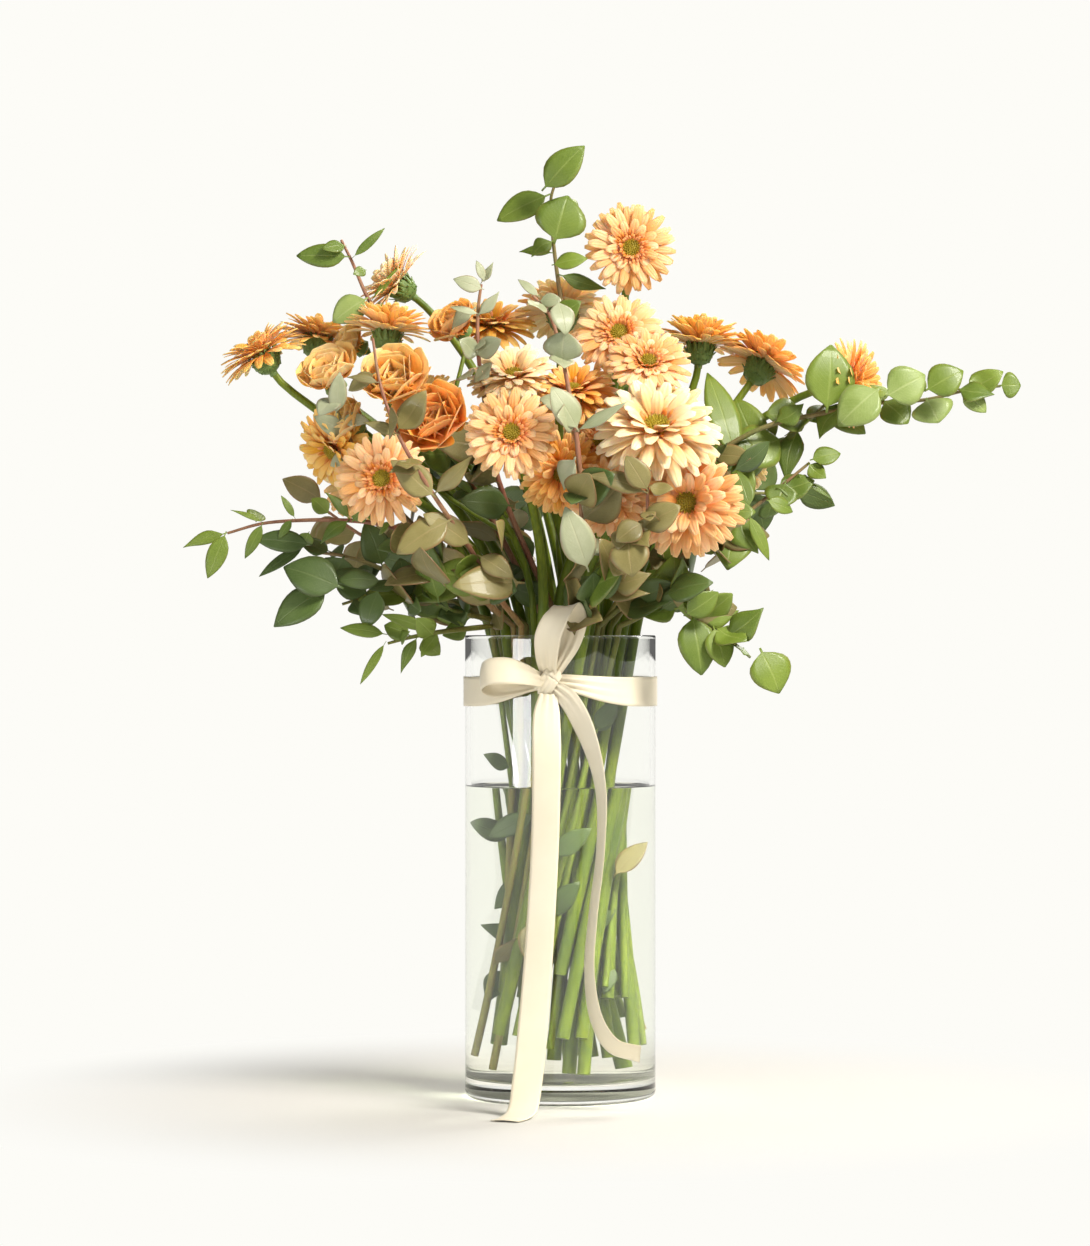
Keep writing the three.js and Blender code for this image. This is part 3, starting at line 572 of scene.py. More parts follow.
petalTemplate = blade("petalTemplate", gerberaPetal, (petalMaterials["peach"], paleBackAndGlowMaterials["peach"]))
floretTemplate = blade("floretTemplate", gerberaFloret, (innerMaterial,))
bractTemplate = blade("bractTemplate", gerberaBract, (bractMaterial,))
seedTemplate = gerberaSeed()
heads = {
    name: gerberaHead(style, petalTemplate, floretTemplate, bractTemplate, seedTemplate, name + "Head")
    for name, style in headStyles.items()
}
print("gerbera heads", [len(head.data.polygons) for head in heads.values()])

# Layout, as in the CAD source: millimetres, +Z up from the foot of the vase

waist = {"height": 150, "spacing": 8.4, "turn": 0.0084}
rimHeight = 306

# name, centre x y z, facing x y z, radius, colour
gerberas = [
    ["gerbera_01", 46, 10, 553, 0.05, -1, 0.05, 29, "peach"],
    ["gerbera_02", 38, -15, 495, -0.05, -0.85, 0.45, 29, "peach"],
    ["gerbera_03", 56, -48, 474, 0.05, -0.8, 0.6, 27, "peach"],
    ["gerbera_04", 60, -88, 430, 0.03, -0.69, 0.73, 38, "pale"],
    ["gerbera_05", -31, -98, 427, -0.05, -0.97, 0.2, 29, "peach"],
    ["gerbera_06", -113, -78, 399, -0.1, -0.97, 0.1, 29, "peach"],
    ["gerbera_07", 80, -86, 384, -0.25, -0.95, 0, 33, "peach"],
    ["gerbera_08", 32, -76, 388, -0.1, -0.85, -0.35, 25, "peach"],
    ["gerbera_09", -195, 8, 484, -0.5, -0.1, 0.85, 28, "peach"],
    ["gerbera_10", -160, 38, 496, 0.2, 0.1, 0.95, 27, "peach"],
    ["gerbera_11", -107, 22, 530, -0.8, -0.1, 0.57, 26, "pale"],
    ["gerbera_12", -112, -12, 497, 0.1, 0.1, 1, 26, "deep"],
    ["gerbera_13", -46, 60, 506, 0, -0.35, 0.93, 28, "peach"],
    ["gerbera_14", -30, -34, 466, 0, -0.6, 0.8, 27, "pale"],
    ["gerbera_15", 92, 22, 491, 0.1, 0.1, 1, 27, "peach"],
    ["gerbera_16", 133, 30, 478, 0.5, 0.4, 0.75, 28, "deep"],
    ["gerbera_17", 188, -2, 464, 0.92, -0.35, 0.15, 27, "deep"],
    ["gerbera_18", -146, -28, 420, -0.6, -0.6, -0.4, 26, "deep"],
    ["gerbera_19", 8, -38, 456, 0, -0.5, 0.85, 27, "deep"],
    ["gerbera_20", 0, -58, 404, 0, -0.85, -0.3, 26, "deep"],
    ["gerbera_21", 26, -44, 424, -0.2, -0.8, 0.3, 25, "peach"],
    ["gerbera_22", 52, 92, 466, 0.35, 0.8, 0.5, 29, "peach"],
    ["gerbera_23", -22, 112, 436, 0, 0.95, 0.35, 30, "peach"],
    ["gerbera_24", -92, 88, 450, -0.5, 0.75, 0.5, 29, "deep"],
    ["gerbera_25", 116, 84, 420, 0.6, 0.75, 0.2, 28, "pale"],
    ["gerbera_26", 2, 62, 516, 0.05, 0.5, 0.85, 29, "pale"],
    ["gerbera_27", -134, 66, 404, -0.6, 0.75, 0.1, 28, "peach"],
]

# name, centre x y z, facing x y z, radius, colour
ranunculus = [
    ["ranunculus_1", -80, -52, 435, -0.25, -0.8, 0.4, 24, "deep"],
    ["ranunculus_2", -106, -45, 460, -0.15, -0.75, 0.6, 22, "ruffled"],
    ["ranunculus_3", -148, -14, 466, -0.35, -0.5, 0.75, 19, "ruffled"],
    ["ranunculus_4", 40, 112, 404, 0.2, 0.95, 0.15, 22, "ruffled"],
]

# Each branch: points of its stem above the rim, then its leaves as base x y z, tip x y z, width
branches = {
  "eucalyptus_01": {"colour": "green",
    "stem": [[8, -2, 428], [4, 20, 494], [-2, 20, 537], [-5, 20, 563], [-6, 18, 587], [-1, 15, 601]],
    "leaves": [[-6, 18, 587, -41, 15, 570, 20], [-6, 18, 588, 21, 12, 617, 22],
      [-3, 20, 553, 5, 22, 585, 34], [-2, 20, 535, 21, 16, 540, 13],
      [-2, 20, 536, 30, 24, 527, 11], [-3, 20, 550, -27, 35, 553, 9]]},
  "eucalyptus_02": {"colour": "green",
    "stem": [[-78, 0, 440], [-102, 5, 486], [-115, 5, 506], [-125, 5, 519], [-136, 5, 544], [-143, 5, 558]],
    "leaves": [[-137, 5, 546, -172, 5, 547, 16], [-136, 5, 545, -115, 8, 565, 6],
      [-126, 5, 518, -148, 2, 503, 20], [-124, 5, 517, -104, 8, 543, 5]]},
  "eucalyptus_03": {"colour": "green",
    "stem": [[-100, -54, 366], [-119, -42, 372], [-142, -38, 374], [-168, -32, 374], [-193, -26, 372],
      [-215, -22, 366]],
    "leaves": [[-135, -38, 374, -151, -38, 392, 8], [-135, -38, 374, -154, -42, 359, 10],
      [-151, -36, 374, -162, -36, 385, 12], [-172, -31, 374, -181, -31, 389, 5],
      [-172, -31, 374, -181, -33, 361, 6], [-191, -26, 373, -213, -26, 381, 4],
      [-191, -26, 372, -203, -28, 349, 8], [-216, -22, 367, -244, -20, 357, 9],
      [-216, -22, 367, -227, -24, 336, 13]]},
  "eucalyptus_04": {"colour": "green",
    "stem": [[-113, -22, 342], [-139, -25, 351], [-161, -22, 354]],
    "leaves": [[-158, -22, 353, -196, -20, 358, 12], [-161, -22, 353, -192, -24, 334, 7],
      [-139, -25, 352, -147, -28, 334, 19], [-113, -28, 342, -126, -10, 372, 16]]},
  "eucalyptus_05": {"colour": "green",
    "stem": [[-79, -38, 318], [-103, -42, 323], [-122, -42, 325], [-140, -42, 320]],
    "leaves": [[-140, -42, 319, -178, -40, 335, 21], [-140, -42, 318, -177, -44, 296, 18],
      [-124, -42, 325, -146, -46, 340, 17], [-112, -42, 324, -121, -48, 299, 13],
      [-97, -41, 321, -103, -35, 349, 15]]},
  "eucalyptus_06": {"colour": "green",
    "stem": [[-79, -58, 302], [-95, -60, 299], [-110, -62, 295]],
    "leaves": [[-112, -62, 296, -140, -60, 300, 10], [-109, -62, 294, -126, -64, 268, 6],
      [-91, -60, 300, -102, -62, 276, 8], [-77, -58, 304, -89, -62, 286, 9],
      [-82, -58, 304, -114, -60, 312, 8]]},
  "eucalyptus_07": {"colour": "green",
    "stem": [[91, -16, 408], [130, -16, 434], [176, -12, 445], [208, -6, 451], [237, -6, 453],
             [263, -6, 459],
      [286, -6, 462]],
    "leaves": [[208, -4, 451, 235, -4, 466, 20], [209, -4, 450, 225, -14, 436, 17],
      [237, -6, 453, 262, -6, 467, 17], [237, -6, 453, 245, -12, 437, 22],
      [263, -6, 459, 288, -4, 470, 13], [261, -6, 457, 276, -10, 444, 10],
      [285, -6, 462, 299, -6, 462, 13], [208, -4, 451, 180, -12, 427, 21]]},
  "eucalyptus_08": {"colour": "green",
    "stem": [[84, 0, 375], [114, 6, 404], [143, 6, 425], [166, 6, 444], [176, 6, 454]],
    "leaves": [[164, 0, 446, 170, 6, 488, 30], [160, 0, 438, 132, -10, 441, 25],
      [143, 0, 427, 109, -12, 412, 29], [156, 0, 434, 146, -8, 399, 16],
      [130, -2, 417, 115, 15, 454, 22], [110, -5, 401, 92, 30, 462, 20]]},
  "eucalyptus_09": {"colour": "green",
    "stem": [[83, -40, 355], [102, -40, 368], [117, -40, 377], [138, -38, 393], [160, -35, 411]],
    "leaves": [[159, -35, 410, 170, -40, 400, 12], [160, -35, 411, 180, -32, 416, 14],
      [144, -37, 399, 139, -44, 380, 22], [153, -36, 401, 175, -36, 387, 4],
      [122, -40, 380, 114, -30, 405, 12], [117, -40, 375, 106, -48, 341, 28],
      [117, -40, 377, 131, -40, 347, 9]]},
  "eucalyptus_10": {"colour": "green",
    "stem": [[70, -42, 319], [86, -50, 311], [107, -54, 298], [121, -55, 286]],
    "leaves": [[69, -42, 316, 74, -38, 351, 24], [83, -48, 313, 89, -56, 274, 23],
      [97, -52, 305, 104, -60, 279, 17], [120, -55, 287, 133, -58, 259, 26],
      [107, -54, 298, 122, -56, 302, 8], [82, -48, 313, 98, -44, 329, 8]]},
  "eucalyptus_11": {"colour": "brown",
    "stem": [[-42, -58, 328], [-58, -74, 356], [-81, -94, 390], [-101, -96, 424],
      [-114, -84, 459], [-119, -74, 488]],
    "leaves": [[-79, -92, 387, -107, -100, 410, 18], [-79, -92, 389, -55, -100, 413, 11],
      [-58, -74, 356, -88, -90, 376, 17], [-68, -86, 370, -103, -94, 350, 20],
      [-37, -50, 323, -80, -78, 321, 22], [-101, -95, 428, -83, -100, 453, 17],
      [-101, -95, 426, -124, -98, 434, 7], [-114, -84, 459, -135, -86, 463, 6]]},
  "eucalyptus_12": {"colour": "sage",
    "stem": [[13, -90, 360], [10, -106, 423], [6, -98, 448], [-1, -80, 484], [-8, -70, 505],
      [-18, -66, 516]],
    "leaves": [[1, -86, 472, 3, -92, 492, 26], [9, -106, 427, -7, -110, 455, 19],
      [9, -106, 427, 42, -112, 446, 9], [13, -84, 348, -2, -100, 388, 22],
      [-13, -68, 512, 1, -72, 512, 10], [-14, -68, 513, -28, -66, 524, 6]]},
  "eucalyptus_13": {"colour": "sage",
    "stem": [[-40, -34, 400], [-49, -40, 452], [-53, -38, 484], [-53, -32, 510], [-51, -32, 526]],
    "leaves": [[-53, -32, 505, -39, -36, 521, 8], [-54, -32, 504, -72, -36, 509, 5],
      [-52, -38, 479, -66, -46, 489, 15], [-52, -38, 479, -37, -48, 489, 15],
      [-51, -32, 526, -43, -34, 540, 6], [-51, -32, 526, -56, -32, 540, 6]]},
  "eucalyptus_14": {"colour": "brown",
    "stem": [[36, -94, 338], [44, -112, 357], [52, -116, 366], [54, -118, 392]],
    "leaves": [[53, -118, 388, 15, -120, 400, 14], [53, -118, 390, 40, -122, 412, 16],
      [54, -118, 392, 70, -122, 390, 11], [52, -116, 365, 75, -122, 380, 20],
      [50, -115, 363, 33, -122, 352, 17], [44, -110, 354, 45, -120, 330, 25],
      [32, -78, 324, 14, -88, 334, 9], [31, -74, 324, 56, -90, 326, 13]]},
  "eucalyptus_15": {"colour": "sage",
    "stem": [[-96, 2, 372], [-126, -30, 407], [-138, -42, 433], [-146, -46, 450]],
    "leaves": [[-144, -46, 442, -140, -50, 470, 12], [-140, -43, 438, -122, -50, 436, 10],
      [-136, -38, 428, -158, -44, 440, 13]]},
  "eucalyptus_16": {"colour": "green",
    "stem": [[-30, 92, 372], [-58, 112, 404], [-78, 124, 440]],
    "leaves": [[-30, 92, 372, 4, 122, 380, 26], [-40, 100, 384, -66, 118, 366, 26],
      [-58, 112, 404, -38, 138, 418, 24], [-66, 116, 418, -98, 126, 416, 24],
      [-78, 124, 438, -84, 132, 470, 20]]},
  "eucalyptus_17": {"colour": "green",
    "stem": [[70, 86, 360], [98, 104, 384], [132, 112, 396], [160, 116, 392]],
    "leaves": [[62, 78, 352, 82, 96, 326, 26], [84, 96, 372, 72, 124, 386, 26],
      [98, 104, 384, 108, 116, 354, 26], [132, 112, 396, 140, 124, 370, 22],
      [132, 112, 396, 144, 112, 420, 22], [158, 116, 392, 186, 116, 382, 18]]},
  "eucalyptus_18": {"colour": "brown",
    "stem": [[-92, 58, 350], [-128, 66, 364], [-160, 66, 386]],
    "leaves": [[-84, 54, 346, -92, 74, 320, 24], [-104, 60, 354, -96, 86, 374, 22],
      [-128, 66, 364, -140, 76, 336, 22], [-142, 66, 374, -168, 74, 362, 20],
      [-158, 66, 385, -186, 62, 400, 18]]},
}


def bundlePlace(place, height):
    rise = (height - waist["height"]) * waist["turn"]
    return Vector((place[0] - rise * place[1], place[1] + rise * place[0], height))


def bundlePlaces(count):
    places = []
    for row in range(-6, 7):
        for column in range(-6, 7):
            shift = math.fmod(row, 2) / 2
            places.append((waist["spacing"] * (column + shift), waist["spacing"] * row * math.sqrt(0.75)))
    places.sort(key=lambda place: math.hypot(place[0] - 1, place[1] - 0.5))
    return places[:count]


def leanTo(target):
    return math.hypot(target[0], target[1]) / (target[2] - waist["height"])


def sharePlaces(targets):
    free = bundlePlaces(len(targets))
    shared = [None] * len(targets)
    for index in sorted(range(len(targets)), key=lambda i: -leanTo(targets[i])):
        target = targets[index]
        angle = math.atan2(target[1], target[0]) - 1.17
        reach = min(leanTo(target) * 80, 31)
        wanted = (reach * math.cos(angle), reach * math.sin(angle))
        best = min(free, key=lambda place: math.hypot(place[0] - wanted[0], place[1] - wanted[1]))
        free.remove(best)
        shared[index] = best
    return shared


def cutHeight(index):
    return 18 + 8 * ((index * 5) % 9)


def flowerPath(place, index, neck, towards):
    cut = bundlePlace(place, cutHeight(index))
    rim = bundlePlace(place, rimHeight)
    leaning = (rim - cut).normalized()
    rise = (neck - rim).length
    first = rim + leaning * rise * 0.5
    second = neck - towards * min(rise * 0.3, 30)
    path = [cut, cut.lerp(rim, 0.35), cut.lerp(rim, 0.7)]
    for step in range(13):
        t = step / 12
        s = 1 - t
        path.append(rim * s ** 3 + first * 3 * s * s * t + second * 3 * s * t * t + neck * t ** 3)
    return [place / 1000 for place in path]


def smoothThrough(points, steps):
    # Centripetal spline through the points
    ends = [points[0] * 2 - points[1], *points, points[-1] * 2 - points[-2]]
    path = [points[0].copy()]
    for i in range(1, len(ends) - 2):
        a, b, c, d = ends[i - 1:i + 3]
        t0 = max((b - a).length, 1e-4) ** 0.5
        t1 = max((c - b).length, 1e-4) ** 0.5
        t2 = max((d - c).length, 1e-4) ** 0.5
        m1 = (b - a) / t0 - (c - a) / (t0 + t1) + (c - b) / t1
        m2 = (c - b) / t1 - (d - b) / (t1 + t2) + (d - c) / t2
        m1 = m1 * t1
        m2 = m2 * t1
        for step in range(1, steps + 1):
            t = step / steps
            path.append(b * (2 * t ** 3 - 3 * t ** 2 + 1) + m1 * (t ** 3 - 2 * t ** 2 + t)
                        + c * (-2 * t ** 3 + 3 * t ** 2) + m2 * (t ** 3 - t ** 2))
    return path


def branchPath(place, index, stem):
    cut = bundlePlace(place, cutHeight(index))
    rim = bundlePlace(place, rimHeight)
    points = smoothThrough([rim, *[Vector(values) for values in stem]], 5)
    return [place / 1000 for place in [cut, cut.lerp(rim, 0.35), cut.lerp(rim, 0.7), *points]]


def nearestOn(path, wanted):
    best = path[0]
    for a, b in zip(path, path[1:]):
        run = b - a
        share = max(0.0, min(1.0, (wanted - a).dot(run) / max(run.length_squared, 1e-12)))
        found = a + run * share
        if (found - wanted).length < (best - wanted).length:
            best = found
    return best


def stemTube(path, thick, thin, sides, material):
    # A tapered stem drawn as a bevelled curve, then made a mesh
    clearSelection()
    bpy.ops.curve.primitive_nurbs_path_add()
    stem = bpy.context.object
    curve = stem.data
    curve.splines.clear()
    spline = curve.splines.new("POLY")
    spline.points.add(len(path) - 1)
    for index, place in enumerate(path):
        spline.points[index].co = (*place, 1)
        spline.points[index].radius = 1 + (thin / thick - 1) * index / (len(path) - 1)
    curve.dimensions = "3D"
    curve.bevel_depth = thick
    curve.bevel_resolution = sides
    curve.use_fill_caps = True
    curve.twist_mode = "MINIMUM"
    bpy.ops.object.convert(target="MESH")
    stem = bpy.context.object
    bpy.ops.object.mode_set(mode="EDIT")
    bpy.ops.mesh.select_all(action="SELECT")
    bpy.ops.mesh.remove_doubles(threshold=0.00002)
    bpy.ops.mesh.normals_make_consistent(inside=False)
    bpy.ops.object.mode_set(mode="OBJECT")
    stem.data.materials.clear()
    stem.data.materials.append(material)
    pick(stem)
    bpy.ops.object.shade_smooth_by_angle(angle=math.radians(60))
    paintTone(stem, 0.5)
    return stem


targets = [row[1:4] for row in gerberas + ranunculus] + [branch["stem"][0] for branch in branches.values()]
stemPlaces = sharePlaces(targets)

amberHeads = ("gerbera_09", "gerbera_10", "gerbera_12", "gerbera_15", "gerbera_13", "gerbera_18")
cuppedHeads = ("gerbera_11", "gerbera_12", "gerbera_15", "gerbera_17", "gerbera_08", "gerbera_20")
domedHeads = ("gerbera_04", "gerbera_09", "gerbera_10", "gerbera_13", "gerbera_14", "gerbera_16",
              "gerbera_18",
              "gerbera_19", "gerbera_26", "gerbera_07")
for index, row in enumerate(gerberas):
    name, radius, colour = row[0], row[7], row[8]
    centre, towards = Vector(row[1:4]), Vector(row[4:7]).normalized()
    neck = centre - towards * 14
    path = flowerPath(stemPlaces[index], index, neck, towards)
    stem = stemTube(path, 0.0039, 0.0023, 3, stemMaterial)
    style = ("open", "flat")[index % 2]
    if name in domedHeads:
        style = "domed"
    if name in cuppedHeads:
        style = "cupped"
    head = copyOf(heads[style], facing(centre / 1000, towards, chance.uniform(0, 6), radius / 29 * (
        1.0 if style in ("open", "flat") else 1.1)))
    recolour(head, "amber" if name in amberHeads else colour)
    piece = joinAll([head, stem], name + "_flower")
    handOver(piece, [name])
print("gerberas placed", len(gerberas))

# Ranunculus: cupped petals packed in widening whorls round a tight heart

ranunculusPetal = {
    "across": 5, "size": (1.15, 1.0, 1.0), "thick": 0.016,
    "widths": [0.25, 0.6, 0.88, 1.0, 1.0, 0.86, 0.5], "lift": [0, -0.1, -0.15, -0.15, -0.1, 0.0, 0.12],
    "section": [0.26, 0.08, 0.0, 0.0, 0.08, 0.26],
}
# how many, how far out, tip angle, size
ranunculusWhorls = [
    (3, 0.05, 84, 0.42), (4, 0.1, 80, 0.52), (5, 0.16, 74, 0.62), (6, 0.22, 68, 0.72),
    (7, 0.28, 60, 0.82), (8, 0.33, 50, 0.9), (8, 0.36, 38, 0.98), (7, 0.36, 24, 1.0),
]


def ranunculusHead(petal, name):
    things = []
    turn = 0.0
    for count, reach, pitch, share in ranunculusWhorls:
        turn += 0.7
        for index in range(count):
            angle = turn + (index + chance.uniform(-0.15, 0.15)) * 2 * math.pi / count
            tip = math.radians(pitch + chance.uniform(-6, 6))
            size = share * chance.uniform(0.9, 1.08)
            matrix = Matrix.Rotation(angle, 4, "Z") @ Matrix.Translation((0, reach, -0.5))
            matrix = matrix @ Matrix.Rotation(tip, 4, "X") @ Matrix.Scale(size, 4)
            things.append(copyOf(petal, matrix, chance.random()))
    clearSelection()
    bpy.ops.mesh.primitive_uv_sphere_add(segments=16, ring_count=8, radius=0.36, location=(0, 0, -0.36))
    heart = bpy.context.object
    chooseVertices(heart, lambda co: co.z < -0.1)
    bpy.ops.transform.resize(value=(0.55, 0.55, 0.8), center_override=(0, 0, -0.36))
    bpy.ops.object.mode_set(mode="OBJECT")
    settle(heart)
    heart.data.materials.append(bractMaterial)
    paintTone(heart, 0.5)
    things.append(heart)
    return joinAll(things, name)


# Smaller blooms on side stems of the same flower: x y z, radius
sideBlooms = {
    "ranunculus_1": [(-66, -8, 500, 18)],
    "ranunculus_2": [(-134, -34, 436, 18)],
    "ranunculus_3": [(-134, 14, 490, 17)],
    "ranunculus_4": [(76, 98, 446, 19)],
}
cupTemplate = blade("cupTemplate", ranunculusPetal, (petalMaterials["ruffled"], paleBackAndGlowMaterials["ruffled"]))
applyModifier(cupTemplate, "SUBSURF", levels=1, render_levels=1)
ranunculusTemplate = ranunculusHead(cupTemplate, "ranunculusTemplate")
print("ranunculus head", len(ranunculusTemplate.data.polygons))
for index, row in enumerate(ranunculus):
    name, radius, colour = row[0], row[7], row[8]
    centre, towards = Vector(row[1:4]), Vector(row[4:7]).normalized()
    neck = centre - towards * radius * 0.55
    path = flowerPath(stemPlaces[len(gerberas) + index], len(gerberas) + index, neck, towards)
    stem = stemTube(path, 0.0024, 0.002, 3, stemMaterial)
    head = copyOf(ranunculusTemplate, facing(centre / 1000, towards, index * 1.3, radius * 1.12 / 1000))
    recolour(head, colour)
    parts = [head, stem]
    for x, y, z, reach in sideBlooms.get(name, []):
        bloom = Vector((x, y, z)) / 1000
        away = Vector((x, y - 60, 70)).normalized() if y < 60 else Vector((x, y, 40)).normalized()
        root = min(path, key=lambda place: abs(place.z - bloom.z + 0.07))
        neck = bloom - away * reach * 0.0006
        side = smoothThrough([root, root.lerp(neck, 0.5) + Vector((0, 0, -0.004)), neck], 5)
        parts.append(stemTube(side, 0.0016, 0.0014, 2, stemMaterial))
        extra = copyOf(ranunculusTemplate, facing(bloom, away, x * 0.1, reach / 1000))
        recolour(extra, colour)
        parts.append(extra)
    piece = joinAll(parts, name + "_flower")
    handOver(piece, [name])
print("ranunculus placed", len(ranunculus))

# Eucalyptus leaves: each shape is one leaf, one unit long and one wide

leafShapes = {
    "oval": {
        "across": 6, "size": (1, 1, 1), "thick": 0.012,
        "widths": [0.05, 0.06, 0.58, 0.87, 0.99, 1.0, 0.95, 0.83, 0.65, 0.4, 0.05],
        "lift": [0, 0.01, 0.02, 0.035, 0.045, 0.045, 0.035, 0.02, 0.0, -0.03, -0.06],
        "section": [0.05, 0.025, 0.008, -0.012, 0.008, 0.025, 0.05],
    },
    "wavy": {
        "across": 6, "size": (1, 1, 1), "thick": 0.012,
        "widths": [0.05, 0.06, 0.62, 0.92, 1.0, 0.99, 0.91, 0.77, 0.57, 0.33, 0.04],
        "lift": [0, 0.0, -0.02, -0.045, -0.05, -0.03, 0.0, 0.03, 0.045, 0.04, 0.02],
        "section": [-0.03, 0.01, 0.02, -0.012, 0.0, 0.03, 0.07],
        "sway": [0, 0, 0, 0.01, 0.02, 0.03, 0.035, 0.03, 0.02, 0.0, -0.02],
    },
    "folded": {
        "across": 6, "size": (1, 1, 1), "thick": 0.012,
        "widths": [0.05, 0.06, 0.55, 0.85, 0.98, 1.0, 0.95, 0.83, 0.63, 0.36, 0.04],
        "lift": [0, 0.0, 0.01, 0.02, 0.03, 0.03, 0.02, 0.0, -0.03, -0.07, -0.12],
        "section": [0.2, 0.13, 0.06, -0.01, 0.06, 0.13, 0.2],
    },
    "sickle": {
        "across": 4, "size": (1, 1, 1), "thick": 0.012,
        "widths": [0.08, 0.08, 0.5, 0.85, 1.0, 0.97, 0.85, 0.65, 0.42, 0.2, 0.02],
        "lift": [0, 0.0, 0.01, 0.03, 0.04, 0.04, 0.03, 0.01, -0.02, -0.06, -0.1],
        "section": [0.05, 0.015, -0.015, 0.015, 0.05],
        "sway": [0, 0.0, 0.03, 0.07, 0.1, 0.11, 0.1, 0.08, 0.05, 0.01, -0.04],
    },
}
leafTemplates = {}
for leafName, shape in leafShapes.items():
    leafTemplates[leafName] = blade(leafName + "Leaf", shape, (leafMaterials["green"],))
print("leaf shapes", len(leafTemplates))


def placeLeaf(base, tip, width, outward, shapeName):
    along = tip - base
    length = along.length
    along = along.normalized()
    side = along.cross(outward).normalized()
    normal = side.cross(along)
    turn = Matrix((side, along, normal)).transposed().to_4x4()
    size = Matrix.Diagonal((width, length, min(length, width * 1.6), 1))
    return copyOf(leafTemplates[shapeName], Matrix.Translation(base) @ turn @ size, chance.random())


# Small extra leaves that fill each branch between the drawn ones: how many, shortest, longest (mm)
extraLeaves = {
    "eucalyptus_01": (5, 14, 24), "eucalyptus_02": (5, 12, 22), "eucalyptus_03": (5, 12, 20),
    "eucalyptus_04": (5, 18, 28), "eucalyptus_05": (6, 18, 30), "eucalyptus_06": (5, 14, 24),
    "eucalyptus_07": (6, 18, 28), "eucalyptus_08": (8, 22, 34), "eucalyptus_09": (8, 20, 32),
    "eucalyptus_10": (7, 20, 32), "eucalyptus_11": (7, 20, 32), "eucalyptus_12": (7, 16, 28),
    "eucalyptus_13": (8, 12, 26), "eucalyptus_14": (7, 18, 30), "eucalyptus_15": (6, 16, 28),
    "eucalyptus_16": (8, 22, 34), "eucalyptus_17": (8, 22, 34), "eucalyptus_18": (7, 20, 32),
}
duskyBranches = ("eucalyptus_05", "eucalyptus_16", "eucalyptus_04", "eucalyptus_17")
# How much wider than its flat outline in the solids a branch's leaves are drawn
broadLeaves = {"eucalyptus_04": 1.25, "eucalyptus_05": 1.3, "eucalyptus_07": 1.35, "eucalyptus_10": 1.1,
               "eucalyptus_08": 1.1, "eucalyptus_11": 1.1}
redTwigs = ("eucalyptus_03", "eucalyptus_11", "eucalyptus_12", "eucalyptus_13", "eucalyptus_14",
            "eucalyptus_18", "eucalyptus_02")

collarLeaves = {"count": 8, "length": (26, 42), "paints": ("dusky", "dusky", "green", "brown", "brown")}
# branch, then height, heading (degrees), length, rise
wetLeaves = [
    ("eucalyptus_01", (176, 200, 34, 0.8)), ("eucalyptus_01", (70, 250, 26, -1.5)),
    ("eucalyptus_04", (150, 190, 40, -1.2)), ("eucalyptus_05", (120, 215, 42, 1.1)),
    ("eucalyptus_05", (245, 200, 30, 1.2)), ("eucalyptus_06", (215, 210, 28, 0.5)),
    ("eucalyptus_10", (240, -30, 34, 1.3)), ("eucalyptus_10", (118, -20, 42, 1.0)),
    ("eucalyptus_11", (84, 220, 34, -1.4)), ("eucalyptus_09", (160, -10, 38, 0.8)),
    ("eucalyptus_12", (104, -80, 40, -1.6)), ("eucalyptus_14", (228, -50, 34, 0.9)),
    ("eucalyptus_14", (92, -60, 34, 1.0)), ("eucalyptus_17", (132, 40, 42, 0.9)),
    ("eucalyptus_16", (126, 130, 44, -0.6)), ("eucalyptus_18", (170, 170, 42, 0.7)),
    ("eucalyptus_08", (232, 20, 32, 1.0)), ("eucalyptus_07", (110, 10, 40, 0.6)),
    ("eucalyptus_03", (168, 195, 40, 0.3)), ("eucalyptus_15", (100, 175, 38, 0.5)),
    ("eucalyptus_13", (146, 240, 36, 0.9)), ("eucalyptus_02", (190, 165, 38, -0.6)),
]


def dense(path):
    return [a.lerp(b, step / 8) for a, b in zip(path, path[1:]) for step in range(8)]


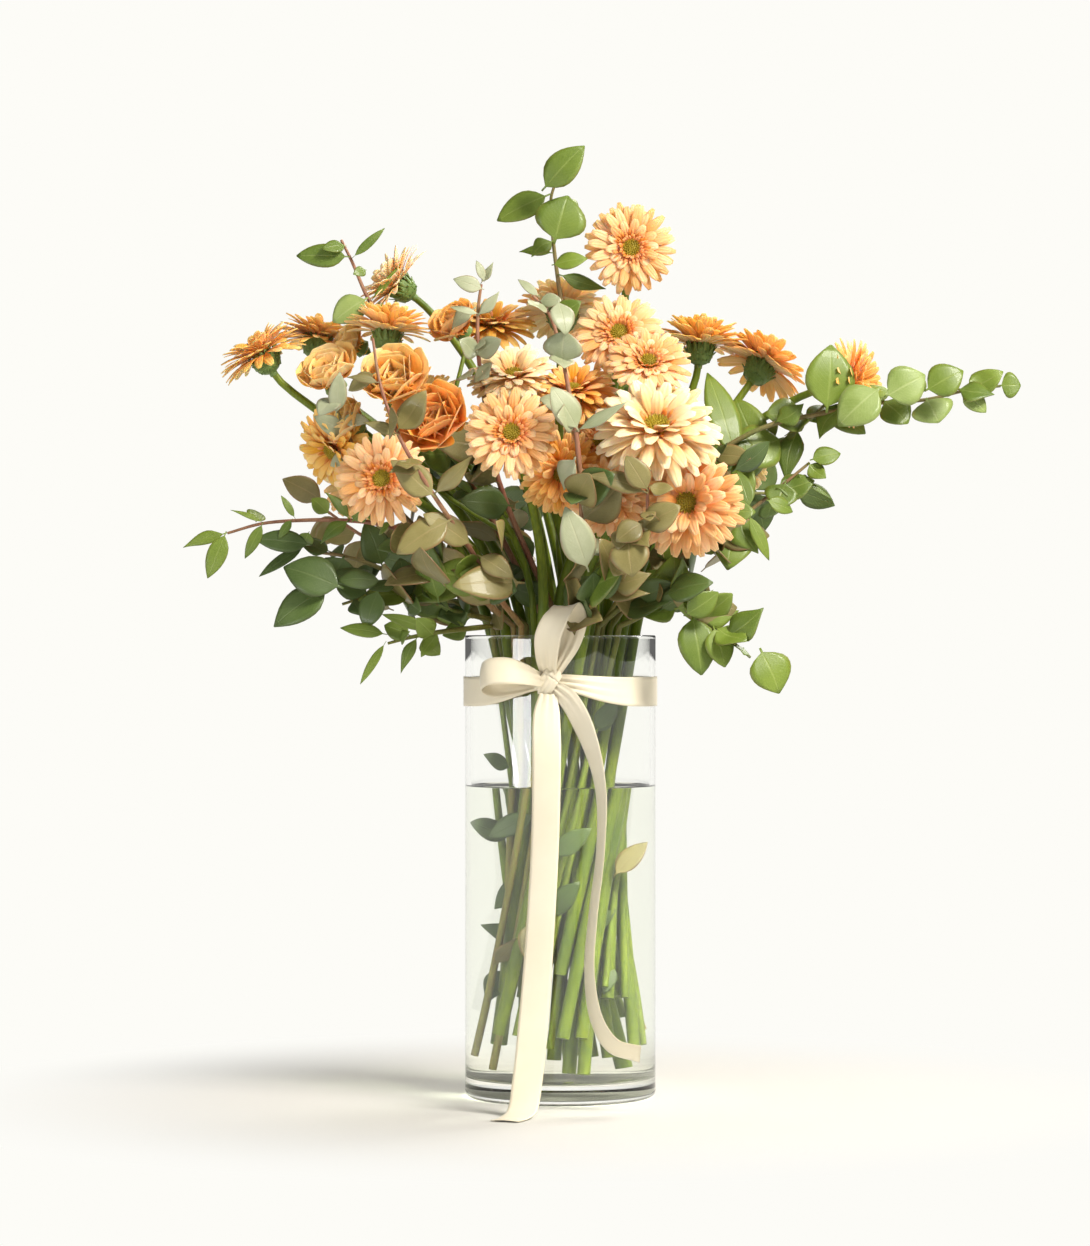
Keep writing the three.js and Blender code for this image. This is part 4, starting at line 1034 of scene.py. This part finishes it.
for order, (name, branch) in enumerate(branches.items()):
    index = len(gerberas) + len(ranunculus) + order
    path = branchPath(stemPlaces[index], index + 3, branch["stem"])
    twig = stemTube(path, 0.0021, 0.0009, 2, twigMaterials["red" if name in redTwigs else "green"])
    paint = leafMaterials["dusky" if name in duskyBranches else branch["colour"]]
    turned = leafMaterials["pale"] if name in ("eucalyptus_07", "eucalyptus_02") else paint
    things = [twig]
    for row in branch["leaves"]:
        tip = vectorOf(row[3:6])
        base = nearestOn(path, vectorOf(row[0:3]))
        slim = row[6] / 1000 / max((tip - base).length, 0.001)
        kinds = ("sickle", "folded") if slim < 0.42 else ("oval", "wavy", "oval", "folded")
        outward = Vector((chance.uniform(-0.25, 0.25), 1 if row[4] > 60 else -1,
                          0.35 + chance.uniform(-0.2, 0.3)))
        leaf = placeLeaf(base, tip, row[6] / 1000 * broadLeaves.get(name, 1), outward, chance.choice(kinds))
        leaf.data.materials[0] = paint if chance.random() < 0.6 else turned
        things.append(leaf)
    count, shortest, longest = extraLeaves[name]
    free = path[3:]
    for extra in range(count):
        base = free[int((0.1 + 0.85 * (extra + chance.random()) / count) * (len(free) - 1))]
        away = Vector((base.x, base.y, 0)).normalized()
        reach = chance.uniform(shortest, longest) / 1000
        aim = Vector((chance.uniform(-1, 1), chance.uniform(-1, 1), chance.uniform(-0.8, 0.8))) + away * 0.5
        outward = Vector((chance.uniform(-0.4, 0.4), -1 if base.y < 0.05 else 1, chance.uniform(0.1, 0.9)))
        things.append(placeLeaf(base, base + aim.normalized() * reach, reach * chance.uniform(0.5, 0.8),
                                outward,
                                chance.choice(("oval", "wavy", "folded", "sickle"))))
    for thing in things[1 + len(branch["leaves"]):]:
        thing.data.materials[0] = paint
    # Broad leaves low in the bunch, between the rim and the flower heads
    low = [place for place in free if 0.312 < place.z < 0.43 and place.xy.length < 0.105]
    for extra in range(collarLeaves["count"] if low else 0):
        base = chance.choice(low)
        away = Vector((base.x, base.y, 0)).normalized()
        reach = chance.uniform(*collarLeaves["length"]) / 1000
        aim = Vector((chance.uniform(-0.9, 0.9), chance.uniform(-0.5, 0.5), chance.uniform(-0.25, 1.0)))
        aim = aim + away * 0.75
        outward = away + Vector((chance.uniform(-0.5, 0.5), chance.uniform(-0.5, 0.2),
                                 chance.uniform(-0.1, 0.6)))
        leaf = placeLeaf(base, base + aim.normalized() * reach, reach * chance.uniform(0.5, 0.75), outward,
                         chance.choice(("oval", "wavy", "oval", "folded")))
        leaf.data.materials[0] = leafMaterials[chance.choice(collarLeaves["paints"])]
        things.append(leaf)
    # A few leaves left on the stem inside the vase, kept off the glass
    wet = [(plant, height) for plant, height in wetLeaves if plant == name]
    for _, (height, heading, length, rise) in wet:
        base = min(dense(path), key=lambda place: abs(place.z - height / 1000))
        aim = Vector((math.cos(math.radians(heading)), math.sin(math.radians(heading)), rise)).normalized()
        tip = base + aim * length * 0.8 / 1000
        if tip.xy.length > 0.053:
            tip.xy = tip.xy.normalized() * 0.053
        outward = Vector((-aim.y * 0.4, -1, 0.2))
        leaf = placeLeaf(base, tip, length * 0.36 / 1000, outward, chance.choice(("folded", "wavy")))
        leaf.data.materials[0] = leafMaterials[chance.choice(("dusky", "dusky", "brown"))]
        things.append(leaf)
    piece = joinAll(things, name + "_branch")
    handOver(piece, [name])
print("branches placed", len(branches))

for template in [petalTemplate, floretTemplate, bractTemplate, seedTemplate, cupTemplate, ranunculusTemplate,
                 *heads.values(), *leafTemplates.values()]:
    removeThing(template)


# Glass and water let light straight through to what they shade

def clearMaterial(name, shader, tint):
    material = bpy.data.materials.new(name)
    material.use_nodes = True
    tree = material.node_tree
    principled = tree.nodes["Principled BSDF"]
    for key, value in shader.items():
        principled.inputs[key].default_value = value
    through = addNode(tree, "ShaderNodeBsdfTransparent", {"Color": tint})
    path = addNode(tree, "ShaderNodeLightPath")
    either = addNode(tree, "ShaderNodeMixShader")
    tree.links.new(path.outputs["Is Shadow Ray"], either.inputs[0])
    tree.links.new(principled.outputs[0], either.inputs[1])
    tree.links.new(through.outputs[0], either.inputs[2])
    tree.links.new(either.outputs[0], tree.nodes["Material Output"].inputs["Surface"])
    return material


glassLook = {"Base Color": (0.985, 0.99, 0.975, 1), "Roughness": 0.0, "IOR": 1.5, "Transmission Weight": 1.0}
waterLook = {"Base Color": (0.97, 0.98, 0.925, 1), "Roughness": 0.0, "IOR": 1.333,
             "Transmission Weight": 1.0}
glassMaterial = clearMaterial("clearGlass", glassLook, (0.95, 0.965, 0.95, 1))
waterMaterial = clearMaterial("clearWater", waterLook, (0.96, 0.975, 0.93, 1))

vase = {"wall": 0.0035, "floor": 0.013, "sides": 128, "rimBevel": 0.0009, "footBevel": 0.004,
        "innerBevel": 0.003}
low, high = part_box("glass_vase")
vaseRadius = (high[0] - low[0]) / 2
vaseHeight = high[2]
clearSelection()
bpy.ops.mesh.primitive_cylinder_add(vertices=vase["sides"], radius=vaseRadius, depth=vaseHeight,
                                    location=(0, 0, vaseHeight / 2))
glass = bpy.context.object
settle(glass)
chooseFaces(glass, lambda centre, normal: normal.z > 0.9)
bpy.ops.mesh.inset(thickness=vase["wall"])
bpy.ops.mesh.extrude_region_move(TRANSFORM_OT_translate={"value": (0, 0, vase["floor"] - vaseHeight)})
bpy.ops.object.mode_set(mode="OBJECT")
chooseEdges(glass, lambda co: co.z > vaseHeight - 0.0001)
bpy.ops.mesh.bevel(offset=vase["rimBevel"], segments=4, affect="EDGES")
chooseEdges(glass, lambda co: co.z < 0.0001)
bpy.ops.mesh.bevel(offset=vase["footBevel"], segments=7, affect="EDGES")
chooseEdges(glass, lambda co: abs(co.z - vase["floor"]) < 0.0001)
bpy.ops.mesh.bevel(offset=vase["innerBevel"], segments=5, affect="EDGES")
bpy.ops.object.mode_set(mode="OBJECT")
chooseFaces(glass, lambda centre, normal: abs(normal.z) > 0.99 and centre.xy.length < 0.001)
bpy.ops.mesh.inset(thickness=0.0015)
# Rings close to each rounded edge keep the long walls' shading straight
for height in (0.0062, 0.0105, 0.0192, vaseHeight - 0.0022):
    bpy.ops.mesh.select_all(action="SELECT")
    bpy.ops.mesh.bisect(plane_co=(0, 0, height), plane_no=(0, 0, 1))
bpy.ops.object.mode_set(mode="OBJECT")
glass.name = "vase_glass"
glass.data.materials.append(glassMaterial)
pick(glass)
bpy.ops.object.shade_smooth_by_angle(angle=math.radians(40))
handOver(glass, ["glass_vase"])

water = {"overlap": 0.00006, "meniscus": 0.0009}
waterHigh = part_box("water")[1]
waterRadius = vaseRadius - vase["wall"] + water["overlap"]
waterFoot = vase["floor"] - water["overlap"]
clearSelection()
bpy.ops.mesh.primitive_cylinder_add(vertices=vase["sides"], radius=waterRadius,
                                    depth=waterHigh[2] - waterFoot,
                                    location=(0, 0, (waterHigh[2] + waterFoot) / 2))
pool = bpy.context.object
settle(pool)
chooseEdges(pool, lambda co: co.z < waterFoot + 0.0001)
bpy.ops.mesh.bevel(offset=vase["innerBevel"], segments=5, affect="EDGES")
chooseFaces(pool, lambda centre, normal: normal.z > 0.9)
bpy.ops.mesh.inset(thickness=0.0011)
bpy.ops.mesh.inset(thickness=0.0016)
bpy.ops.object.mode_set(mode="OBJECT")
chooseVertices(pool, lambda co: co.z > waterHigh[2] - 0.0001 and co.xy.length > waterRadius - 0.0002)
bpy.ops.transform.translate(value=(0, 0, water["meniscus"]))
chooseVertices(pool,
               lambda co: co.z > waterHigh[2] - 0.0001 and abs(co.xy.length - waterRadius + 0.0011) < 0.0002)
bpy.ops.transform.translate(value=(0, 0, water["meniscus"] * 0.25))
for height in (0.0192, waterHigh[2] - 0.0012):
    bpy.ops.mesh.select_all(action="SELECT")
    bpy.ops.mesh.bisect(plane_co=(0, 0, height), plane_no=(0, 0, 1))
bpy.ops.object.mode_set(mode="OBJECT")
pool.name = "vase_water"
pool.data.materials.append(waterMaterial)
pick(pool)
bpy.ops.object.shade_smooth_by_angle(angle=math.radians(50))
handOver(pool, ["water"])
print("vase and water ready")


# Satin ribbon

def satinMaterial():
    material = bpy.data.materials.new("creamSatin")
    material.use_nodes = True
    tree = material.node_tree
    principled = tree.nodes["Principled BSDF"]
    for key, value in {"Sheen Weight": 0.35, "Sheen Roughness": 0.35, "Specular IOR Level": 0.5,
                       "Anisotropic": 0.4}.items():
        principled.inputs[key].default_value = value
    uv = addNode(tree, "ShaderNodeUVMap", uv_map="UVMap")
    split = addNode(tree, "ShaderNodeSeparateXYZ")
    tree.links.new(uv.outputs[0], split.inputs[0])
    threads = addNode(tree, "ShaderNodeMapping", {"Scale": (70, 900, 1)})
    tree.links.new(uv.outputs[0], threads.inputs[0])
    weft = addNode(tree, "ShaderNodeTexNoise", {"Scale": 1.0, "Detail": 2.0})
    tree.links.new(threads.outputs[0], weft.inputs["Vector"])
    warp = addNode(tree, "ShaderNodeMapping", {"Scale": (260, 14, 1)})
    tree.links.new(uv.outputs[0], warp.inputs[0])
    lines = addNode(tree, "ShaderNodeTexNoise", {"Scale": 1.0, "Detail": 3.0})
    tree.links.new(warp.outputs[0], lines.inputs["Vector"])
    place = addNode(tree, "ShaderNodeTexCoord")
    cloud = addNode(tree, "ShaderNodeTexNoise", {"Scale": 30.0, "Detail": 3.0})
    tree.links.new(place.outputs["Object"], cloud.inputs["Vector"])
    base = blendColours(tree, sumUp(tree, "MULTIPLY_ADD", cloud.outputs[0], 1.6, -0.4, clamp=True),
                        (0.8, 0.71, 0.52, 1), (0.88, 0.81, 0.64, 1))
    lined = blendColours(tree, sumUp(tree, "MULTIPLY", lines.outputs[0], 0.35), base, (0.93, 0.87, 0.73, 1))
    edge = sumUp(tree, "ABSOLUTE", sumUp(tree, "SUBTRACT", split.outputs[0], 0.5))
    selvedge = sumUp(tree, "MULTIPLY_ADD", edge, 30.0, -14.0, clamp=True)
    tree.links.new(blendColours(tree, sumUp(tree, "MULTIPLY", selvedge, 0.5), lined, (0.78, 0.66, 0.45, 1)),
                   principled.inputs["Base Color"])
    tree.links.new(sumUp(tree, "MULTIPLY_ADD", lines.outputs[0], 0.2, 0.34), principled.inputs["Roughness"])
    relief = sumUp(tree, "ADD", sumUp(tree, "MULTIPLY", weft.outputs[0], 0.6), lines.outputs[0])
    relief = sumUp(tree, "ADD", relief, sumUp(tree, "MULTIPLY", selvedge, 0.8))
    raised = addNode(tree, "ShaderNodeBump", {"Strength": 0.3, "Distance": 0.0002})
    tree.links.new(relief, raised.inputs["Height"])
    tree.links.new(raised.outputs[0], principled.inputs["Normal"])
    return material


satin = satinMaterial()
ribbon = {"width": 0.019, "thick": 0.0003, "across": 10, "pleats": 3, "pleatDepth": 0.0016}


def strap(name, rows, cup=0.0):
    # rows hold centre, side and width in metres; where a row is narrow the cloth gathers into pleats
    across = ribbon["across"]
    clearSelection()
    bpy.ops.mesh.primitive_grid_add(x_subdivisions=across, y_subdivisions=len(rows) - 1, size=1)
    piece = bpy.context.object
    bpy.ops.object.mode_set(mode="OBJECT")
    for vertex in piece.data.vertices:
        share = vertex.co.x + 0.5
        row = round((vertex.co.y + 0.5) * (len(rows) - 1))
        centre, side, width = rows[row]
        before = rows[max(row - 1, 0)][0]
        after = rows[min(row + 1, len(rows) - 1)][0]
        along = (after - before).normalized()
        side = (side - along * side.dot(along)).normalized()
        normal = along.cross(side)
        gathered = max(0.0, 1 - width / ribbon["width"])
        wave = math.sin(share * ribbon["pleats"] * 2 * math.pi) * ribbon["pleatDepth"] * gathered * 1.6
        bow = cup * (1 - (2 * share - 1) ** 2)
        vertex.co = centre + side * (share - 0.5) * width + normal * (wave + bow)
    applyModifier(piece, "SOLIDIFY", thickness=ribbon["thick"], offset=0)
    piece.name = name
    piece.data.materials.append(satin)
    pick(piece)
    bpy.ops.object.shade_smooth()
    return piece


def stationRows(stations, steps):
    # Centre, side and width all run smoothly through the stations
    centres = smoothThrough([Vector(station[0:3]) for station in stations], steps)
    sides = smoothThrough([Vector(station[3:6]) for station in stations], steps)
    widths = smoothThrough([Vector((station[6], 0, 0)) for station in stations], steps)
    return [(centre / 1000, side.normalized(), width.x / 1000)
            for centre, side, width in zip(centres, sides, widths)]


# Ribbon stretches: x y z, across x y z, width
upperLoop = [
    [-7, -72, 272, 0.9, -0.3, 0.2, 8], [-9, -80, 284, 0.9, -0.4, 0.15, 14],
    [-8, -87, 300, 0.87, -0.45, 0.15, 18],
    [-2, -88, 313, 0.87, -0.45, 0.1, 18], [4, -81, 320, 0.87, -0.45, 0.1, 18],
    [8, -74, 312, 0.87, -0.4, 0.1, 18],
    [6, -70, 296, 0.9, -0.3, 0.1, 14], [-4, -70, 276, 0.9, -0.3, 0.1, 8],
]
leftLoop = [
    [-10, -73, 271, 0.1, -0.4, -0.9, 8], [-20, -82, 275, 0.2, -0.45, -0.87, 15],
    [-34, -86, 278, 0.1, -0.5, -0.85, 19],
    [-46, -82, 277, 0, -0.5, -0.85, 19], [-50, -74, 273, 0, -0.5, -0.85, 19],
    [-42, -69, 269, 0, -0.4, -0.9, 18],
    [-26, -69, 269, 0.1, -0.3, -0.9, 13], [-12, -70, 271, 0.1, -0.3, -0.9, 8],
]
shortTail = [
    [-5, -73, 268, 0.8, -0.3, 0.5, 8], [6, -80, 258, 0.7, -0.55, 0.4, 15],
    [17, -84, 236, 0.55, -0.8, 0.2, 19],
    [25, -85, 204, 0.35, -0.93, 0, 19], [25, -85, 165, 0.26, -0.96, 0, 19],
    [20, -85, 121, 0.28, -0.95, 0, 19],
    [18, -86, 86, 0.32, -0.93, 0.1, 19], [23, -88, 57, 0.4, -0.88, 0.2, 19],
    [33, -91, 42, 0.4, -0.8, 0.4, 19],
    [50, -94, 37, 0.2, -0.75, 0.6, 18],
]
longTail = [
    [-8, -76, 263, 1, 0, 0, 11], [-9, -80, 250, 1, 0, 0, 17], [-9, -86, 220, 0.95, -0.3, 0, 19],
    [-10, -93, 170, 0.92, -0.38, 0, 19],
    [-13, -99, 115, 0.93, -0.35, 0.03, 19], [-17, -105, 62, 0.97, -0.2, 0.08, 19],
    [-21, -111, 22, 0.99, -0.1, 0.1, 19],
    [-24, -117, 5, 0.98, -0.2, 0.03, 19], [-29, -127, 1.2, 0.97, -0.25, 0, 19],
    [-35, -141, 0.9, 0.95, -0.3, 0, 19],
]

bandRows = []
for step in range(121):
    # Starts and ends behind the knot, round the back of the vase
    angle = -math.pi / 2 - 0.11 + 2 * math.pi * step / 120
    around = Vector((math.cos(angle), math.sin(angle), 0))
    off = math.atan2(around.x * 0.06295 + 0.007, -around.y * 0.06295)
    drawn = math.exp(-((off / 0.5) ** 2))
    centre = around * (0.06295 + 0.0012 * drawn) + Vector((0, 0, 0.2637 + 0.007 * drawn))
    bandRows.append((centre, Vector((0, 0, 1)), ribbon["width"] * (1 - 0.5 * drawn)))
band = strap("ribbon_round_vase", bandRows)
handOver(band, ["ribbon_band"])

bowPieces = []
for name, stations in (("bow_upper_loop", upperLoop), ("bow_left_loop", leftLoop)):
    rows = stationRows(stations, 8)
    loop = strap(name, rows, cup=0.0012)
    handOver(loop, ["ribbon_bow"])
    bowPieces.append(loop)

# The knot is a short turn of the same ribbon, wrapped over the gathered ends
knot = {"centre": (-8, -70.3, 271), "wide": 0.0078, "deep": 0.0052, "width": 0.0115}
knotRows = []
for step in range(33):
    angle = 2 * math.pi * step / 32 + 1.2
    place = vectorOf(knot["centre"])
    centre = place + Vector((math.cos(angle) * knot["wide"] * 0.55, -math.sin(angle) * knot["deep"] - 0.001,
                             math.cos(angle) * knot["wide"] * 0.85))
    knotRows.append((centre, Vector((0.84, 0, -0.54)), knot["width"]))
knotPiece = strap("bow_knot", knotRows, cup=0.0014)
handOver(knotPiece, ["ribbon_bow"])

tailRows = stationRows(shortTail, 10)
tail = strap("bow_short_tail", tailRows, cup=0.0008)
handOver(tail, ["ribbon_bow"])

longRows = stationRows(longTail, 10)
longPiece = strap("bow_long_tail", longRows, cup=0.0005)
handOver(longPiece, ["ribbon_tail"])
print("ribbon tied")

# Floor, light and camera

studio = {"backdrop": (0.982, 0.973, 0.93), "ambient": 0.27, "mirrored": 0.14, "floorPlain": (0.13, 0.42)}

clearSelection()
bpy.ops.mesh.primitive_plane_add(size=60, location=(0, 0, 0))
floor = bpy.context.object
floor.name = "studio_floor"
floorMaterial = bpy.data.materials.new("studioFloor")
floorMaterial.use_nodes = True
tree = floorMaterial.node_tree
principled = tree.nodes["Principled BSDF"]
principled.inputs["Base Color"].default_value = (0.62, 0.608, 0.578, 1)
principled.inputs["Roughness"].default_value = 0.7
principled.inputs["Specular IOR Level"].default_value = 0.15
place = addNode(tree, "ShaderNodeTexCoord")
distance = addNode(tree, "ShaderNodeVectorMath", operation="LENGTH")
tree.links.new(place.outputs["Object"], distance.inputs[0])
fade = addNode(tree, "ShaderNodeMapRange",
               {"From Min": studio["floorPlain"][0], "From Max": studio["floorPlain"][1]},
               interpolation_type="SMOOTHSTEP")
tree.links.new(distance.outputs["Value"], fade.inputs["Value"])
plain = addNode(tree, "ShaderNodeEmission", {"Color": (*studio["backdrop"], 1), "Strength": 1.0})
either = addNode(tree, "ShaderNodeMixShader")
path = addNode(tree, "ShaderNodeLightPath")
shown = sumUp(tree, "MULTIPLY", fade.outputs["Result"],
              sumUp(tree, "SUBTRACT", 1.0, sumUp(tree, "MULTIPLY", path.outputs["Is Diffuse Ray"], 0.7)))
tree.links.new(shown, either.inputs[0])
tree.links.new(principled.outputs[0], either.inputs[1])
tree.links.new(plain.outputs[0], either.inputs[2])
tree.links.new(either.outputs[0], tree.nodes["Material Output"].inputs["Surface"])
floor.data.materials.append(floorMaterial)

world = bpy.data.worlds.new("studioWorld")
bpy.context.scene.world = world
world.use_nodes = True
tree = world.node_tree
background = tree.nodes["Background"]
background.inputs["Color"].default_value = (*studio["backdrop"], 1)
background.inputs["Strength"].default_value = 1.0
dim = addNode(tree, "ShaderNodeBackground", {"Color": (1, 0.99, 0.965, 1), "Strength": studio["ambient"]})
# What glass and water show: bright ahead and behind, greyer to the sides, so their edges read
direction = addNode(tree, "ShaderNodeTexCoord")
sideways = addNode(tree, "ShaderNodeSeparateXYZ")
tree.links.new(direction.outputs["Generated"], sideways.inputs[0])
amount = sumUp(tree, "POWER", sumUp(tree, "ABSOLUTE", sideways.outputs[0]), 2.0)
shown = blendColours(tree, amount, (*studio["backdrop"], 1), (0.42, 0.43, 0.40, 1))
seen = addNode(tree, "ShaderNodeBackground", {"Strength": 1.0})
tree.links.new(shown, seen.inputs["Color"])
path = addNode(tree, "ShaderNodeLightPath")
soft = addNode(tree, "ShaderNodeMixShader")
tree.links.new(path.outputs["Is Diffuse Ray"], soft.inputs[0])
tree.links.new(seen.outputs[0], soft.inputs[1])
tree.links.new(dim.outputs[0], soft.inputs[2])
mirrored = addNode(tree, "ShaderNodeBackground",
                   {"Color": (1, 0.99, 0.97, 1), "Strength": studio["mirrored"]})
glossy = addNode(tree, "ShaderNodeMixShader")
# A ray that was mirrored once, also inside the glass, sees a darker room
tree.links.new(sumUp(tree, "MULTIPLY", sumUp(tree, "MINIMUM", path.outputs["Glossy Depth"], 1.0),
                     sumUp(tree, "SUBTRACT", 1.0, path.outputs["Is Diffuse Ray"])), glossy.inputs[0])
tree.links.new(soft.outputs[0], glossy.inputs[1])
tree.links.new(mirrored.outputs[0], glossy.inputs[2])
straight = addNode(tree, "ShaderNodeMixShader")
tree.links.new(path.outputs["Is Camera Ray"], straight.inputs[0])
tree.links.new(glossy.outputs[0], straight.inputs[1])
tree.links.new(background.outputs[0], straight.inputs[2])
tree.links.new(straight.outputs[0], tree.nodes["World Output"].inputs["Surface"])

lamps = {
    "keyLight": {"at": (1.25, -1.15, 1.85), "size": (0.7, 0.7), "watts": 80, "colour": (1, 0.955, 0.88)},
    "fillLight": {"at": (-1.5, -1.7, 0.2), "size": (1.4, 0.9), "watts": 17, "colour": (1, 0.99, 0.97)},
    "backLight": {"at": (0.9, 1.25, 1.6), "size": (0.8, 0.8), "watts": 26, "colour": (1, 0.97, 0.92)},
    "glassStrip": {"at": (-1.09, -1.03, 0.222), "size": (0.62, 0.155), "watts": 5, "colour": (1, 1, 1)},
}
for name, lamp in lamps.items():
    clearSelection()
    aim = Vector((0, 0, 0.24)) - Vector(lamp["at"])
    if name == "glassStrip":
        aim.z = 0
    bpy.ops.object.light_add(type="AREA", location=lamp["at"],
                             rotation=aim.to_track_quat("-Z", "Y").to_euler())
    light = bpy.context.object
    light.name = name
    light.data.shape = "RECTANGLE"
    light.data.size, light.data.size_y = lamp["size"]
    light.data.energy = lamp["watts"]
    light.data.color = lamp["colour"]
    light.visible_camera = False
    light.visible_transmission = False
    light.visible_glossy = name != "fillLight"
    light.visible_diffuse = name != "glassStrip"

clearSelection()
bpy.ops.object.camera_add(location=(-0.010, -2.65, 0.308), rotation=(math.radians(90), 0, 0))
camera = bpy.context.object
camera.name = "frontCamera"
camera.data.sensor_width = 36
camera.data.lens = 117.56
camera.data.clip_start = 0.05
camera.data.clip_end = 100
bpy.context.scene.camera = camera
bpy.context.scene.view_settings.view_transform = "Standard"
bpy.context.scene.view_settings.look = "None"
print("studio ready")
